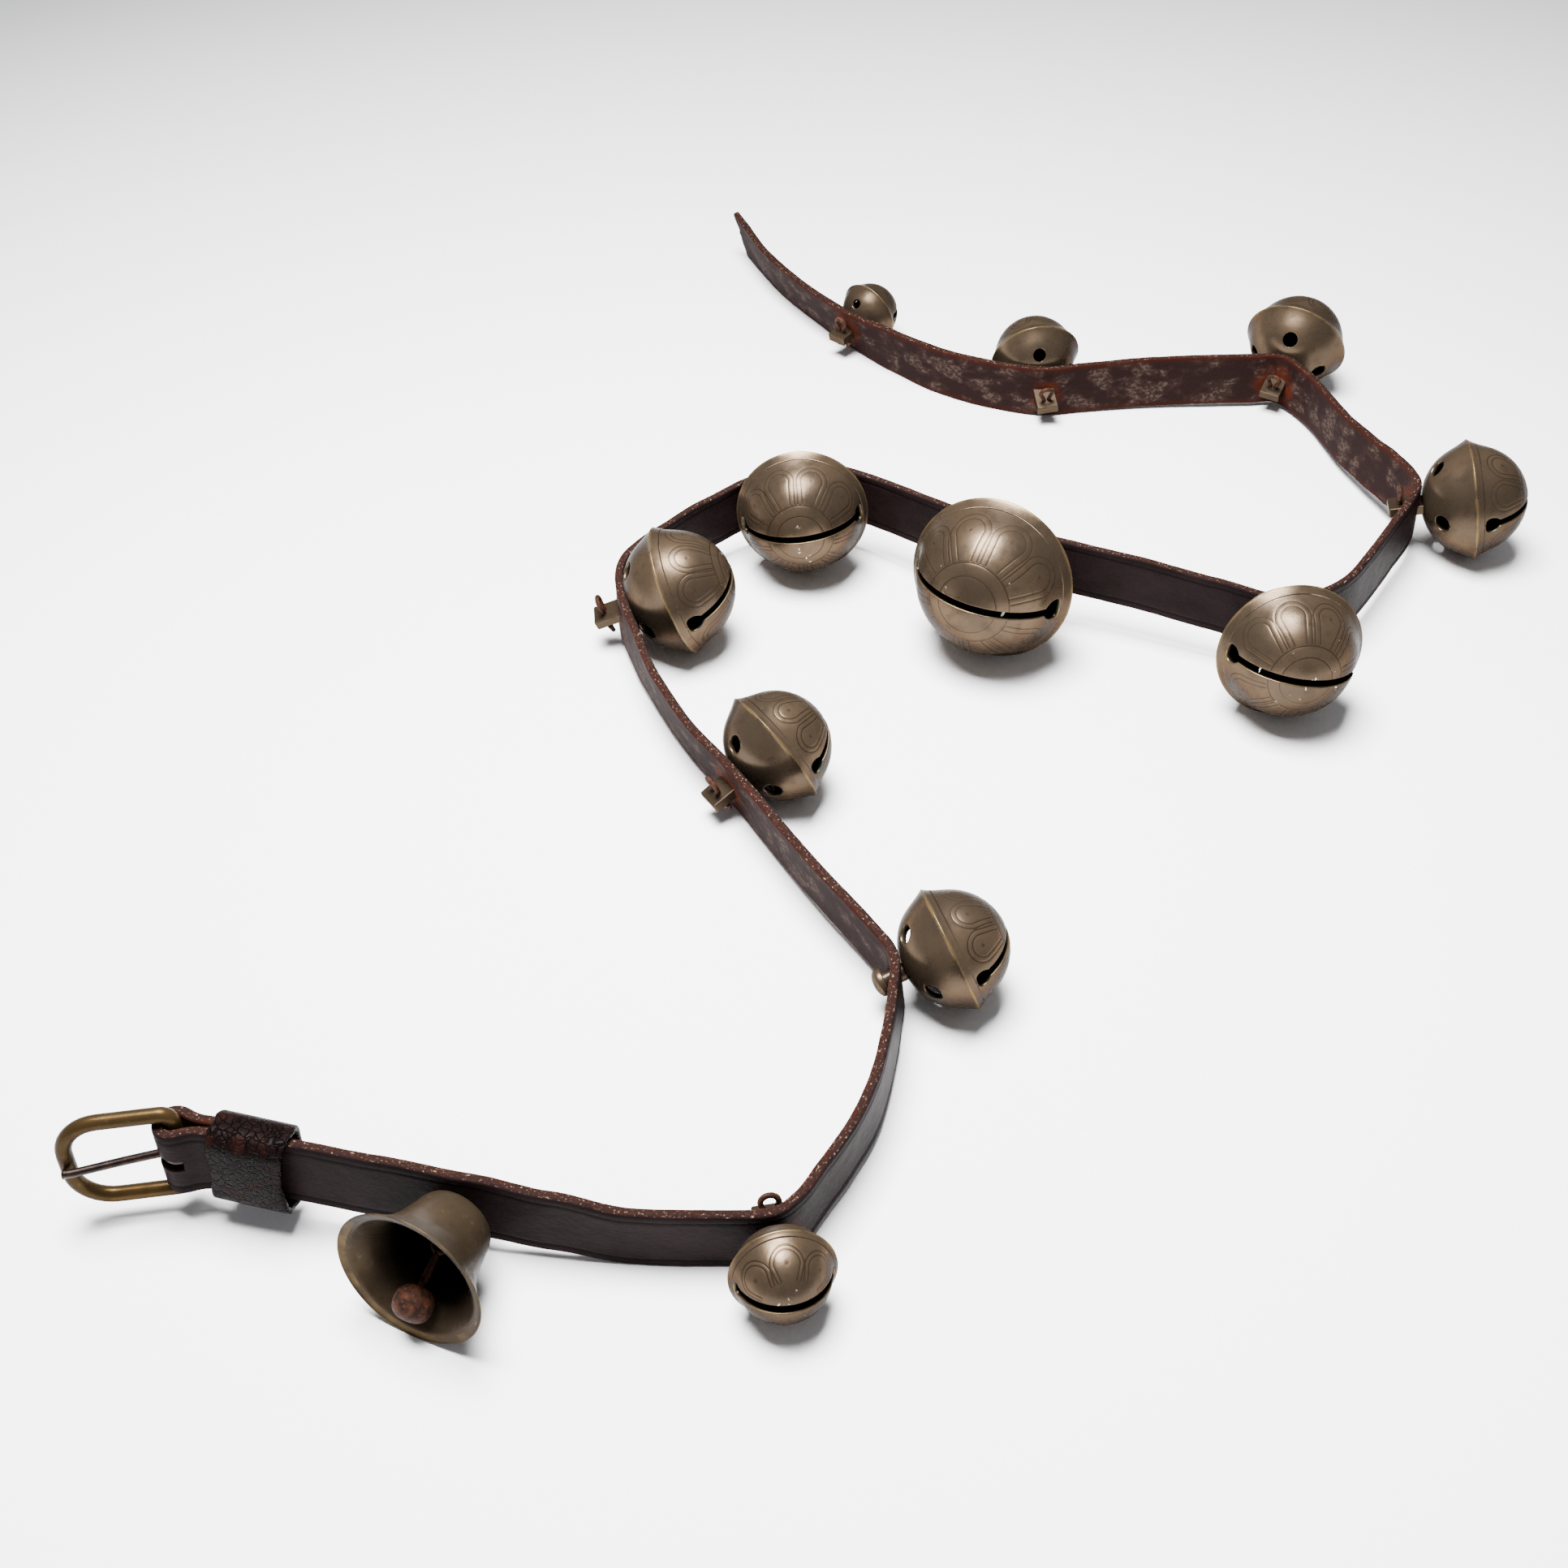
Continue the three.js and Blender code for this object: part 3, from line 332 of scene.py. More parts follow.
# a smooth run of points through chosen ones
def smoothRun(chosen, steps):
    chosen = np.asarray(chosen, dtype=float)
    padded = np.vstack([2 * chosen[0] - chosen[1], chosen, 2 * chosen[-1] - chosen[-2]])
    run = []
    for a, b, c, d in zip(padded, padded[1:], padded[2:], padded[3:]):
        for t in np.linspace(0, 1, steps, endpoint=False):
            bend = (2 * a - 5 * b + 4 * c - d) * t * t + (3 * b - a - 3 * c + d) * t ** 3
            run.append(b + ((c - a) * t + bend) / 2)
    return np.array(run + [chosen[-1]])


# points along straight sides and round corners; a corner is its middle, its radius and where it starts
def roundedLoop(corners, step):
    rough, loop = [], []
    for x, y, radius, start in corners:
        turns = np.radians(np.linspace(start, start + 90, 10))
        rough += [np.array((x + radius * cos(t), y + radius * sin(t))) for t in turns]
    for a, b in zip(rough, rough[1:] + rough[:1]):
        count = max(1, round(dist(a, b) / step))
        loop += [a + (b - a) * k / count for k in range(count)]
    return np.array(loop)


def rectangleCorners(wide, high, corner):
    x, y = wide / 2 - corner, high / 2 - corner
    return (x, y, corner, 0), (-x, y, corner, 90), (-x, -y, corner, 180), (x, -y, corner, 270)


def jointPlace(name):
    return np.array(joints[name]["pos_m"]) / mm


def cadPoints(node):
    return np.array([tuple(v.co) for v in nodes[node].data.vertices]) / mm


def alongAxis(node, frameOf):
    return (cadPoints(node) - frameOf[0]) @ frameOf[2]


def boxMiddle(node):
    return np.mean(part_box(node), axis=0) / mm


# a new Geometry Nodes tree with named inputs, and those inputs
def newTree(name, lengths, **others):
    tree = bpy.data.node_groups.new(name, "GeometryNodeTree")
    for way in ("INPUT", "OUTPUT"):
        tree.interface.new_socket("Geometry", in_out=way, socket_type="NodeSocketGeometry")
    for label, kind in {**dict.fromkeys(lengths, "Float"), **others}.items():
        tree.interface.new_socket(label, in_out="INPUT", socket_type="NodeSocket" + kind)
    return tree, tree.nodes.new("NodeGroupInput").outputs


# a copy of a shape at each point of the base, turned as the point says
def scattered(tree, given, shape):
    facing = add(tree, "InputNamedAttribute", {"Name": "facing"}, data_type="FLOAT_VECTOR")
    turn = add(tree, "EulerToRotation", (facing,))
    return add(tree, "InstanceOnPoints",
               {"Points": given["Geometry"], "Instance": shape, "Rotation": turn})


# ends a tree: all made real, its skin moved in and out by noise of some size if asked, and its material set
def finishTree(tree, shape, material, amount=None, size=1.0, detail=3.0, level=0.5):
    shape = add(tree, "RealizeInstances", {"Geometry": shape})
    if amount is not None:
        waves = add(tree, "TexNoise", {"Scale": 1 / (size * mm), "Detail": detail})
        waves = add(tree, "Math", (waves, level), operation="SUBTRACT")
        waves = add(tree, "Math", (waves, amount), operation="MULTIPLY")
        outward = add(tree, "InputNormal")
        shove = add(tree, "VectorMath", {0: outward, "Scale": waves}, operation="SCALE")
        shape = add(tree, "SetPosition", {"Geometry": shape, "Offset": shove})
    shape = add(tree, "SetShadeSmooth", {"Geometry": shape})
    shape = add(tree, "SetMaterial", {"Geometry": shape, "Material": material})
    add(tree, "GroupOutput", {"Geometry": shape})
    return tree


# takes what the modifiers of an object make as its plain mesh
def settle(piece):
    view = bpy.context.evaluated_depsgraph_get()
    made = bpy.data.meshes.new_from_object(piece.evaluated_get(view), preserve_all_data_layers=True,
                                           depsgraph=view)
    piece.modifiers.clear()
    piece.data = made
    made.name = piece.name
    return piece


# what a tree makes of its base, with its lengths in millimetres
def grow(base, tree, lengths, **others):
    modifier = base.modifiers.new(tree.name, "NODES")
    modifier.node_group = tree
    values = {**{label: value * mm for label, value in lengths.items()}, **others}
    for item in tree.interface.items_tree:
        if item.name in values:
            modifier[item.identifier] = values[item.name]
    return settle(base)


def cutAway(piece, cutter):
    cut = piece.modifiers.new("cut", "BOOLEAN")
    cut.operation, cut.solver, cut.object = "DIFFERENCE", "EXACT", cutter
    settle(piece)
    bpy.data.objects.remove(cutter)


# a line of points, with vectors for its points by name
def wireObject(name, points, **vectors):
    mesh = bpy.data.meshes.new(name)
    edges = [(i, i + 1) for i in range(len(points) - 1)]
    mesh.from_pydata([tuple(p) for p in np.asarray(points) * mm], edges, [])
    for label, values in vectors.items():
        layer = mesh.attributes.new(label, "FLOAT_VECTOR", "POINT")
        layer.data.foreach_set("vector", np.asarray(values, dtype=np.float32).ravel())
    return linked(name, mesh)


def turnOf(first, second, third):
    return tuple(Matrix(np.array([first, second, third]).T.tolist()).to_euler())


# the strap: one length of leather on its edge, turned back round the buckle's bar; a point of its middle
# line is its place in the plan, the height of its lower edge and its lean in degrees
strap = {
    "width": 25.4,
    "thickness": 3.5,
    "edgeRadius": 0.9,
    "creaseInset": 3.2,  # impressed line inside each edge
    "creaseDepth": 0.25,
    "creaseWidth": (0.75, 0.1),  # where its slope starts and ends, from its middle
    "uneven": 0.4,
    "waveSize": 7,
    "ringStep": 2.6,
    "foldSteps": 6,
    "sectionStep": 0.55,
    "foldHeading": 170,
    "foldRadius": 4.75,
    "layerPitch": 4.1,
    "spread": 0.9,
    "chapeShare": 0.1,
    "slot": {"high": 4.6, "near": 6.5, "far": 9.5, "from": -60, "to": 115},  # for the tongue, round the bar
    "torn": (3.0, 2.2, 16),  # how far the lower corner is torn back, how deep the bites are, the tear's reach
    "bites": 12,
    "tearSeed": 7,
    "stub": (5.0, 2.0),  # fibres left standing at the end, and how many more at the upper corner
    "upperCorner": (0.7, 0.12),  # share of the width where it starts, and over how much it grows
    "rust": (5.0, 15.0),  # how far from a cotter its rust has stained the leather, full and last
    "buckleEnd": [(-178, -198.2, 12.4, 5), (-162.5, -199.2, 11.4, 5), (-149, -201.2, 10.6, 5)],
    "route": [
        (-121, -206.2, 8.9, 5), (-94.2, -210.7, 6.4, 5), (-70, -214.6, 3.5, 3), (-46, -217.6, 0, 0),
        (-24, -218.3, 0, 0), (-3, -217.2, 0, 0), (4, -213, 1.5, 0), (12, -201.5, 2.5, 0), (20.5, -188, 3, 0),
        (28.5, -171, 3, 3), (34, -150, 3, 4), (37.3, -130, 2.5, 5), (38.3, -114, 1.6, 7), (31.5, -101.5, 3, 9),
        (12, -72, 4, 10), (-4, -43.5, 2.5, 10), (-20, -14.5, 0.5, 11), (-33, 4, 2, 13), (-49, 34, 3, 10),
        (-62, 68, 4, 3), (-69, 92, 4.6, 1), (-70, 105, 5, 0), (-67, 116, 5.5, 0), (-55, 131, 6.8, 0),
        (-35, 150, 9, 0), (-12, 167, 11, 0), (9, 174, 13.5, 2), (32, 164.5, 15, 0), (53, 149, 16, 0),
        (77, 131, 16.5, 0), (100, 117, 16.4, 0), (146, 98, 15.3, -1), (179, 83.5, 14, -1), (203, 73.5, 12.3, 2),
        (213, 74, 10.6, 2), (222, 79.5, 9.4, 3), (238, 92, 8.4, 5), (252.5, 111, 8, 6), (268, 134, 8.2, 6),
        (280, 152, 8.4, 6), (286.5, 166, 8.3, 4), (285.5, 180, 7.5, 0), (282, 192, 6.8, -2), (276, 211, 5.3, 0),
        (270, 233, 3.7, 2), (265.5, 259, 2.4, 3), (260, 279, 1.8, 0), (251.5, 292.8, 1.6, -4),
        (239, 292.6, 1.6, -8), (217, 292, 1.5, -9), (186, 290.5, 1, -8), (152, 286, 0.4, -6),
        (131, 282.5, 0.4, -4), (104, 290, 0.5, 0), (79, 304, 0.3, 4), (56, 325, 0.3, 10), (35, 348, 0.3, 18),
        (14, 379, 0.3, 21), (-5.5, 414, 0.3, 19), (-22.5, 458, 0.3, 14),
    ],
}


# where the plan lies in the frame, from the place of the buckle's bar in both
def planShift():
    fold, pitch = strap["foldHeading"], strap["layerPitch"]
    bar = heading(fold) * (strap["foldRadius"] + pitch / 2) + heading(fold - 90) * pitch / 2
    shift = jointPlace("buckle_swing") - bar - strap["buckleEnd"][0][:3]
    return np.array([shift[0], shift[1], 0, 0])


def strapPlan():
    buckleEnd, onward = (np.array(strap[k]) + shift for k in ("buckleEnd", "route"))
    back = np.append(heading(strap["foldHeading"] - 90), 0)
    pitch, share = strap["layerPitch"], strap["chapeShare"]
    chape = [
        buckleEnd[1] * (1 - share) + buckleEnd[2] * share + back * pitch,
        buckleEnd[1] + back * pitch,
        buckleEnd[0] + back * (pitch + strap["spread"]),
    ]
    fold = []
    for angle in (-90, -45, 0, 45, 90):
        place = jointPlace("buckle_swing") + heading(strap["foldHeading"] + angle) * strap["foldRadius"]
        fold.append((place[0], place[1], buckleEnd[0][2], 0))
    return np.vstack([chape, fold, buckleEnd, onward]), len(chape) + len(fold)


shift = planShift()
plan, foldEnd = strapPlan()
flat = plan[:, :2]
flat = np.vstack([2 * flat[0] - flat[1], flat, 2 * flat[-1] - flat[-2]])


# one place on the plan and its direction, on a centripetal curve through the points
def planPoint(station):
    at = min(int(station), len(plan) - 2)
    t = station - at
    p0, p1, p2, p3 = flat[at:at + 4]
    a, b, c = (sqrt(dist(p, q)) for p, q in ((p0, p1), (p1, p2), (p2, p3)))
    m1 = ((p1 - p0) / a - (p2 - p0) / (a + b) + (p2 - p1) / b) * b
    m2 = ((p2 - p1) / b - (p3 - p1) / (b + c) + (p3 - p2) / c) * b
    c2 = -3 * p1 + 3 * p2 - 2 * m1 - m2
    c3 = 2 * p1 - 2 * p2 + m1 + m2
    return p1 + m1 * t + c2 * t * t + c3 * t ** 3, unit(m1 + 2 * c2 * t + 3 * c3 * t * t)


def leanAt(i):
    i = max(i, foldEnd)
    ahead = planPoint(i)[1]
    return np.array([-ahead[1], ahead[0], 0]) * tan(radians(plan[i][3]))


leans = [leanAt(i) for i in range(len(plan))]


# middle of the strap, its direction, bell side and upward direction at a station
def strapFrame(station):
    at = min(int(station), len(plan) - 2)
    t = station - at
    share = t * t * (3 - 2 * t)
    upward = unit(leans[at] * (1 - share) + leans[at + 1] * share + np.array([0, 0, 1]))
    place, ahead = planPoint(station)
    ahead = np.array([*ahead, 0])
    side = unit(np.cross(ahead, upward))
    rise = plan[at][2] * (1 - share) + plan[at + 1][2] * share
    height = rise + strap["width"] / 2 * upward[2] + strap["thickness"] / 2 * abs(side[2])
    return np.array([*place, height]), ahead, side, upward


# a rounded section swept along the strap's middle line, with a crease pressed in along both edges
def strapTree():
    tree, given = newTree("strapSweep", ("Width", "Thickness", "Edge radius", "Crease line", "Crease rise",
                                         "Unevenness"), Leather="Material")
    path = add(tree, "MeshToCurve", {"Mesh": given["Geometry"]})
    upward = add(tree, "InputNamedAttribute", {"Name": "upward"}, data_type="FLOAT_VECTOR")
    path = add(tree, "SetCurveNormal", {"Curve": path, "Normal": upward}, mode="FREE")
    length = add(tree, "SplineParameter", out="Length")
    path = add(tree, "StoreNamedAttribute", {"Geometry": path, "Name": "along", "Value": length})
    section = add(tree, "CurvePrimitiveQuadrilateral", {"Width": given["Width"], "Height": given["Thickness"]})
    section = add(tree, "FilletCurve",
                  {"Curve": section, "Radius": given["Edge radius"], "Count": 4}, mode="POLY")
    section = add(tree, "ResampleCurve", {"Curve": section, "Length": strap["sectionStep"] * mm}, mode="LENGTH")
    spot = add(tree, "InputPosition")
    across, depth = (add(tree, "SeparateXYZ", (spot,), axis) for axis in ("X", "Y"))
    off = add(tree, "Math", (across,), operation="ABSOLUTE")
    off = add(tree, "Math", (off, given["Crease line"]), operation="SUBTRACT")
    off = add(tree, "Math", (off,), operation="ABSOLUTE")
    far, close = strap["creaseWidth"]
    near = add(tree, "MapRange", (off, far * mm, close * mm), interpolation_type="SMOOTHSTEP")
    front = add(tree, "Math", (depth, 0.0), operation="GREATER_THAN")
    crease = add(tree, "Math", (near, front), operation="MULTIPLY")
    for label, value in (("across", across), ("depth", depth), ("crease", crease)):
        section = add(tree, "StoreNamedAttribute", {"Geometry": section, "Name": label, "Value": value})
    push = add(tree, "Math", (crease, given["Crease rise"]), operation="MULTIPLY")
    dent = add(tree, "CombineXYZ", {1: push})
    section = add(tree, "SetPosition", {"Geometry": section, "Offset": dent})
    swept = add(tree, "CurveToMesh", {"Curve": path, "Profile Curve": section, "Fill Caps": True})
    return finishTree(tree, swept, given["Leather"], given["Unevenness"], strap["waveSize"])


# the torn end: cut back towards the lower corner, with uneven bites
def tearTip(piece, end, ahead, upward):
    (back, bite, taper), (beyond, more), (start, over) = (strap[k] for k in ("torn", "stub", "upperCorner"))
    drawn = np.random.default_rng(strap["tearSeed"]).uniform(0, bite, strap["bites"])
    bites = smoothRun(drawn[:, None], steps=12)[:, 0]
    for vertex in piece.data.vertices:
        spot = np.array(vertex.co) / mm - end
        behind = -spot.dot(ahead)
        if -1 < behind < taper:
            level = np.clip(spot.dot(upward) / strap["width"] + 0.5, 0, 1)
            stub = beyond + more * np.clip((level - start) / over, 0, 1)
            torn = (1 - level) * back + bites[int(level * (len(bites) - 1))]
            pull = (1 - max(behind, 0) / taper) * (torn - stub)
            vertex.co -= Vector(ahead * pull * mm)


# the slot in the fold that the tongue swings in
def cutSlot(piece):
    slot, bar, half = strap["slot"], jointPlace("buckle_swing"), strap["slot"]["high"] / 2
    upward = unit(joints["buckle_swing"]["axis"])
    outline = []
    for angle in range(-180, 180, 5):
        reach = slot["far"] if slot["from"] <= angle <= slot["to"] else slot["near"]
        outline.append(heading(strap["foldHeading"] + angle) * reach)
    points = [bar + spot + upward * level for level in (-half, half) for spot in outline]
    cutAway(piece, makePiece("slotCutter", (points, ringFaces(2, len(outline), capped=True)), world, leather))


# rust that has run from the cotters into the leather
def stainRust(piece):
    spots = np.array([v.co for v in piece.data.vertices]) / mm
    pins = [boxMiddle(node) for node in nodes if node.startswith("cotter")]
    away = np.min([np.linalg.norm(spots - pin, axis=1) for pin in pins], axis=0)
    near, far = strap["rust"]
    paintPoints(piece.data, "rust", np.clip((far - away) / (far - near), 0, 1))


def makeStrap():
    stations = []
    for i in range(len(plan) - 1):
        run = dist(plan[i + 1][:2], plan[i][:2])
        steps = max(2, ceil(run / strap["ringStep"]), strap["foldSteps"] if 2 <= i < foldEnd else 0)
        stations += [i + k / steps for k in range(steps)]
    frames = [strapFrame(s) for s in stations + [len(plan) - 1]]
    piece = wireObject("strapLeather", [f[0] for f in frames], upward=[f[3] for f in frames])
    grow(piece, strapTree(), {
        "Width": strap["width"], "Thickness": strap["thickness"], "Edge radius": strap["edgeRadius"],
        "Crease line": strap["width"] / 2 - strap["creaseInset"], "Crease rise": -strap["creaseDepth"],
        "Unevenness": strap["uneven"]}, Leather=leather)
    end, ahead, _, upward = frames[-1]
    tearTip(piece, end, ahead, upward)
    cutSlot(piece)
    stainRust(piece)
    return finishPiece(piece, wholeStrap, "strap_leather", "strap")


print("strap", len(makeStrap().data.polygons), "faces")

# the crotal bells: each one casting with a ridge, a keyhole slit, four sound holes and a shank
crotal = {
    "turns": {1: 0, 2: -8, 3: -2, 4: 6, 5: 8, 6: -4, 7: -7, 8: -2, 9: 4, 10: -9, 11: 0},  # roll of the slit
    "riveted": 2,
    "mesh": 0.5,  # spacing of points on the throat
    "thin": 3,  # one column in so many goes on over the crown
    "wall": 2.0,
    "body": 0.9,  # shares of the ridge's radius
    "mouth": 0.914,
    "crown": 0.77,
    "flare": (0.1, 0.42),  # how far the wall flares out to the ridge, and from how far off
    "ridge": 0.25,  # half of its thickness where it leaves the wall
    "ridgeEdge": 0.4,  # share of that left at its edge
    "slit": 3.0,
    "lip": 0.5,
    "lipCurve": ((0.55, 0.03), (0.2, 0.14), (0.03, 0.4), (0.0, 0.8)),  # share of the lip left, and depth
    # painted shade on the lip strip, growing darker as it turns into the slit
    "lipShade": (0, 0, 0.25, 0.7, 1),
    "lipBright": (1, 1, 0.4, 0, 0),
    "lipWear": {1: 0.5, -1: 1.0},  # the lower lip is rubbed more
    "keyhole": (73, 0.125),  # angle from the pole, radius
    "soundHole": (48, 0.145),
    "drill": (0.45, 1.15),  # from where to where it goes through the wall
    "tab": (10.5, 4.5),
    "tabEdge": 0.6,
    "post": 3.2,
    "petals": {1: 3},  # in each half of a bell, four on the others
    "petalSpan": (13, 167),
    "petalBase": 34,  # angles from the pole
    "petalTip": 76,
    "petalInset": 0.08,
    "petalFoot": 0.88,  # shares of the room that a petal has
    "petalHead": (0.82, 0.86),
    "petalSway": (-0.015, 0.015),  # small differences from petal to petal
    "petalReach": (-0.03, 0.02),
    "narrowing": 0.8,  # towards the pole, one for a true sphere
    "arcs": (33, 23),
    "prick": 1.1,
    "cutDepth": 0.08,
    "cutWidth": 0.7,
    "rubbed": 0.025,  # how far wear, old paint and verdigris spread
    "painted": 0.5,
    "green": 0.045,
}


def bellFrame(number):
    joint = "pellet_%02d_roll" % number
    axis = unit(joints[joint]["axis"])
    level = unit(np.cross(axis, (0, 0, 1)))
    roll = Matrix.Rotation(radians(crotal["turns"][number]), 3, Vector(axis))
    across = np.array(roll @ Vector(level))
    return jointPlace(joint), across, axis, np.cross(across, axis)


# engraved lines in one row of points: one in the middle of a line, one millimetre off for each one more or less
def engraving(polar, around, radius, number):
    rough = np.random.default_rng(number)
    count = crotal["petals"].get(number, 4)
    first, last = np.radians(crotal["petalSpan"])
    sector = (last - first) / count
    body = radius * crotal["body"]
    room, narrowing = sector / 2 * body, crotal["narrowing"]
    scale = radius * (crotal["body"] + crotal["mouth"]) / 2
    arc, inset = polar * scale, crotal["petalInset"] * radius
    base, tip = (radians(crotal[k]) * scale for k in ("petalBase", "petalTip"))
    narrow = room * sin(radians(crotal["petalBase"])) ** narrowing * crotal["petalFoot"]
    nowhere = np.full(around.shape, 9.0)
    petal, prick = nowhere, np.zeros(around.shape)
    for k in range(count):
        middle = first + sector * (k + 0.5) + rough.uniform(*crotal["petalSway"])
        wide = room * rough.uniform(*crotal["petalHead"])
        top = tip - wide + rough.uniform(*crotal["petalReach"]) * radius
        aside = np.abs(around - middle) * body * sin(polar) ** narrowing
        flank = narrow + (wide - narrow) * np.clip((arc - base) / (top - base), 0, 1)
        away = np.hypot(aside, arc - top)
        petal = np.minimum(petal, aside - flank if arc < top else away - wide)
        prick = np.maximum(prick, 1 - away / crotal["prick"])
    double = np.abs(petal + inset / 2) - inset / 2 if arc > base else nowhere
    outer, inner = (radians(a) * scale for a in crotal["arcs"])
    ring = 9 if number in crotal["petals"] else abs(arc - (outer + inner) / 2) - (outer - inner) / 2
    return np.clip(double + 1, 0, 2), np.clip(ring + 1, 0, 2), prick


def flareAt(y, radius):
    height, span = crotal["flare"]
    return height * radius * max(0, 1 - abs(y) / (span * radius)) ** 3


# one closed mesh of a bell about its own axis, and the values of its points
def crotalMesh(radius, number):
    body, mouth, crown = (radius * crotal[k] for k in ("body", "mouth", "crown"))
    wall, lip, half, thin = crotal["wall"], crotal["lip"], crotal["slit"] / 2, crotal["thin"]
    keyAngle, hole = radians(crotal["keyhole"][0]), crotal["keyhole"][1] * radius
    columns = int(pi * body / crotal["mesh"]) // thin * thin
    few = columns // thin
    spread = np.linspace(0, 1, columns + 1)
    # length along the slit against the angle from the pole
    angles = np.linspace(0, pi / 2, 901)
    arcs = np.cumsum(np.hypot(np.diff(body * np.sin(angles), prepend=0),
                              np.diff(mouth * np.cos(angles), prepend=mouth)))
    keyArc = np.interp(keyAngle, angles, arcs)
    meet = keyArc - sqrt((hole + lip) ** 2 - (half + lip) ** 2)
    # the rounded edge of the slit and its keyhole: where the rounding starts and where it ends
    edge = [(s, half + lip, s, half) for s in np.linspace(0, meet, max(8, int(meet / crotal["mesh"])))]
    for t in np.linspace(asin((half + lip) / (hole + lip)), pi, 18)[1:]:
        c, s = cos(t), sin(t)
        edge.append((keyArc - (hole + lip) * c, (hole + lip) * s, keyArc - hole * c, hole * s))

    def onWall(arc, rise, depth=0.0):
        x = body * sin(np.interp(arc, arcs, angles))
        out = min(hypot(x, rise), body * 0.9999)
        polar = asin(out / body)
        y = mouth * cos(polar)
        normal = unit((x / body ** 2, y / mouth ** 2, rise / body ** 2))
        widen = 1 + flareAt(y, radius) * (1 - depth / wall) / max(out, half)
        return np.array([x * widen, y, rise * widen]) - depth * normal, polar, atan2(rise, x)

    rows, lips = [], []
    for arc, rise, endArc, endRise in edge:
        _, polar, turn = onWall(arc, rise)
        rows.append((polar, turn + (pi - 2 * turn) * spread))
        lips.append([onWall(endArc + (arc - endArc) * s, endRise + (rise - endRise) * s, depth)[0]
                     for s, depth in (*crotal["lipCurve"], (0.0, wall))])
    last, end = rows[-1][0], acos(crotal["ridge"] / mouth)
    more = max(3, int((end - last) * body / crotal["mesh"]))
    rows += [(p, pi * spread) for p in np.linspace(last, end, more + 1)[1:]]
    bevel = crotal["ridge"] * crotal["ridgeEdge"]
    rim = [(radius, bevel), (radius, -bevel)]
    dome = np.linspace(acos(-crotal["ridge"] / crown), pi, max(24, int(1.2 * radius)))
    outside = rim + [(body * sin(p) + flareAt(crown * cos(p), radius), crown * cos(p)) for p in dome]
    within = [((body - wall) * sin(p), (crown - wall) * cos(p))
              for p in np.linspace(pi / 2, pi, len(dome))[1:]]
    points, faces = [], []
    paint = {label: [] for label in ("petalLine", "baseLine", "prick", "inside", "rubbed")}

    def addPaint(count, *values):
        for label, value in zip(paint, values):
            paint[label].extend(np.broadcast_to(value, count))

    def addRow(r, y, around, upside, marks=(0, 0, 0), inner=0):
        first, count = len(points), len(around)
        petalLine, baseLine, _ = (np.broadcast_to(m, count) for m in marks)
        offLine = np.minimum(abs(petalLine - 1), abs(baseLine - 1))
        sunk = np.maximum(0, 1 - offLine / crotal["cutWidth"]) * crotal["cutDepth"]
        share = 1 - sunk / hypot(r, y)
        points.extend(zip(r * share * np.cos(around), y * share, upside * r * share * np.sin(around)))
        addPaint(count, *marks, inner, 0)
        return list(range(first, len(points)))

    def bridge(low, high):
        faces.extend(zip(low, low[1:], high[1:], high))

    around = np.linspace(0, pi, few + 1)
    for upside in (1, -1):
        outer, inner = [], []
        for polar, turns in rows:
            r, y = body * sin(polar), mouth * cos(polar)
            marks = engraving(polar, turns, radius, number)
            outer.append(addRow(r + flareAt(y, radius), y, turns, upside, marks))
            # the inner wall takes the painted shade in full
            inner.append(addRow(r * (body - wall) / body, y * (mouth - wall) / mouth, turns[::thin], upside,
                                inner=1))
        for low, high in zip(outer, outer[1:]):
            bridge(low, high)
        for low, high in zip(inner, inner[1:]):
            bridge(high, low)
        bright = np.array(crotal["lipBright"]) * crotal["lipWear"][upside]
        for sign, column in ((1, 0), (-1, -1)):
            strips = []
            for strip, outerRow, innerRow in zip(lips, outer, inner):
                first = len(points)
                points.extend((sign * x, y, upside * z) for x, y, z in strip)
                # painted shade deepening into the slit, and the rubbed lip
                addPaint(len(strip), 0, 0, 0, crotal["lipShade"], bright)
                # the inner wall starts where the lip ends
                points[innerRow[column]] = points[-1]
                strips.append([outerRow[column], *range(first, len(points) - 1), innerRow[column]])
            for low, high in zip(strips, strips[1:]):
                bridge(low, high)
        low = outer[-1]
        for k, (r, y) in enumerate(outside):
            row = addRow(r, y, around, upside)
            if k == 0:
                faces += [(row[j], *low[j * thin:(j + 1) * thin + 1], row[j + 1])[::-1] for j in range(few)]
            else:
                bridge(low, row)
            low = row
        # the inner wall of the crown, in painted shade too
        low = inner[-1]
        for r, y in within:
            row = addRow(r, y, around, upside, inner=1)
            bridge(row, low)
            low = row
    return points, faces, paint


# the flat block, or the round post, that goes through the leather
def shankMesh(number, top, end):
    edge = crotal["tabEdge"]
    if number == crotal["riveted"]:
        post = crotal["post"]
        return lathe([(0, top), (post, top), (post, end + edge), (post - edge, end), (0, end)], sides=24)
    levels = ((top, 0), (end + edge, 0), (end + edge * 0.3, edge * 0.35), (end, edge))
    outline = roundedLoop(rectangleCorners(*crotal["tab"], edge), step=9)
    points = [(x - copysign(inset, x), y, z - copysign(inset, z))
              for y, inset in levels for x, z in outline]
    return points, ringFaces(len(levels), len(outline), capped=True)


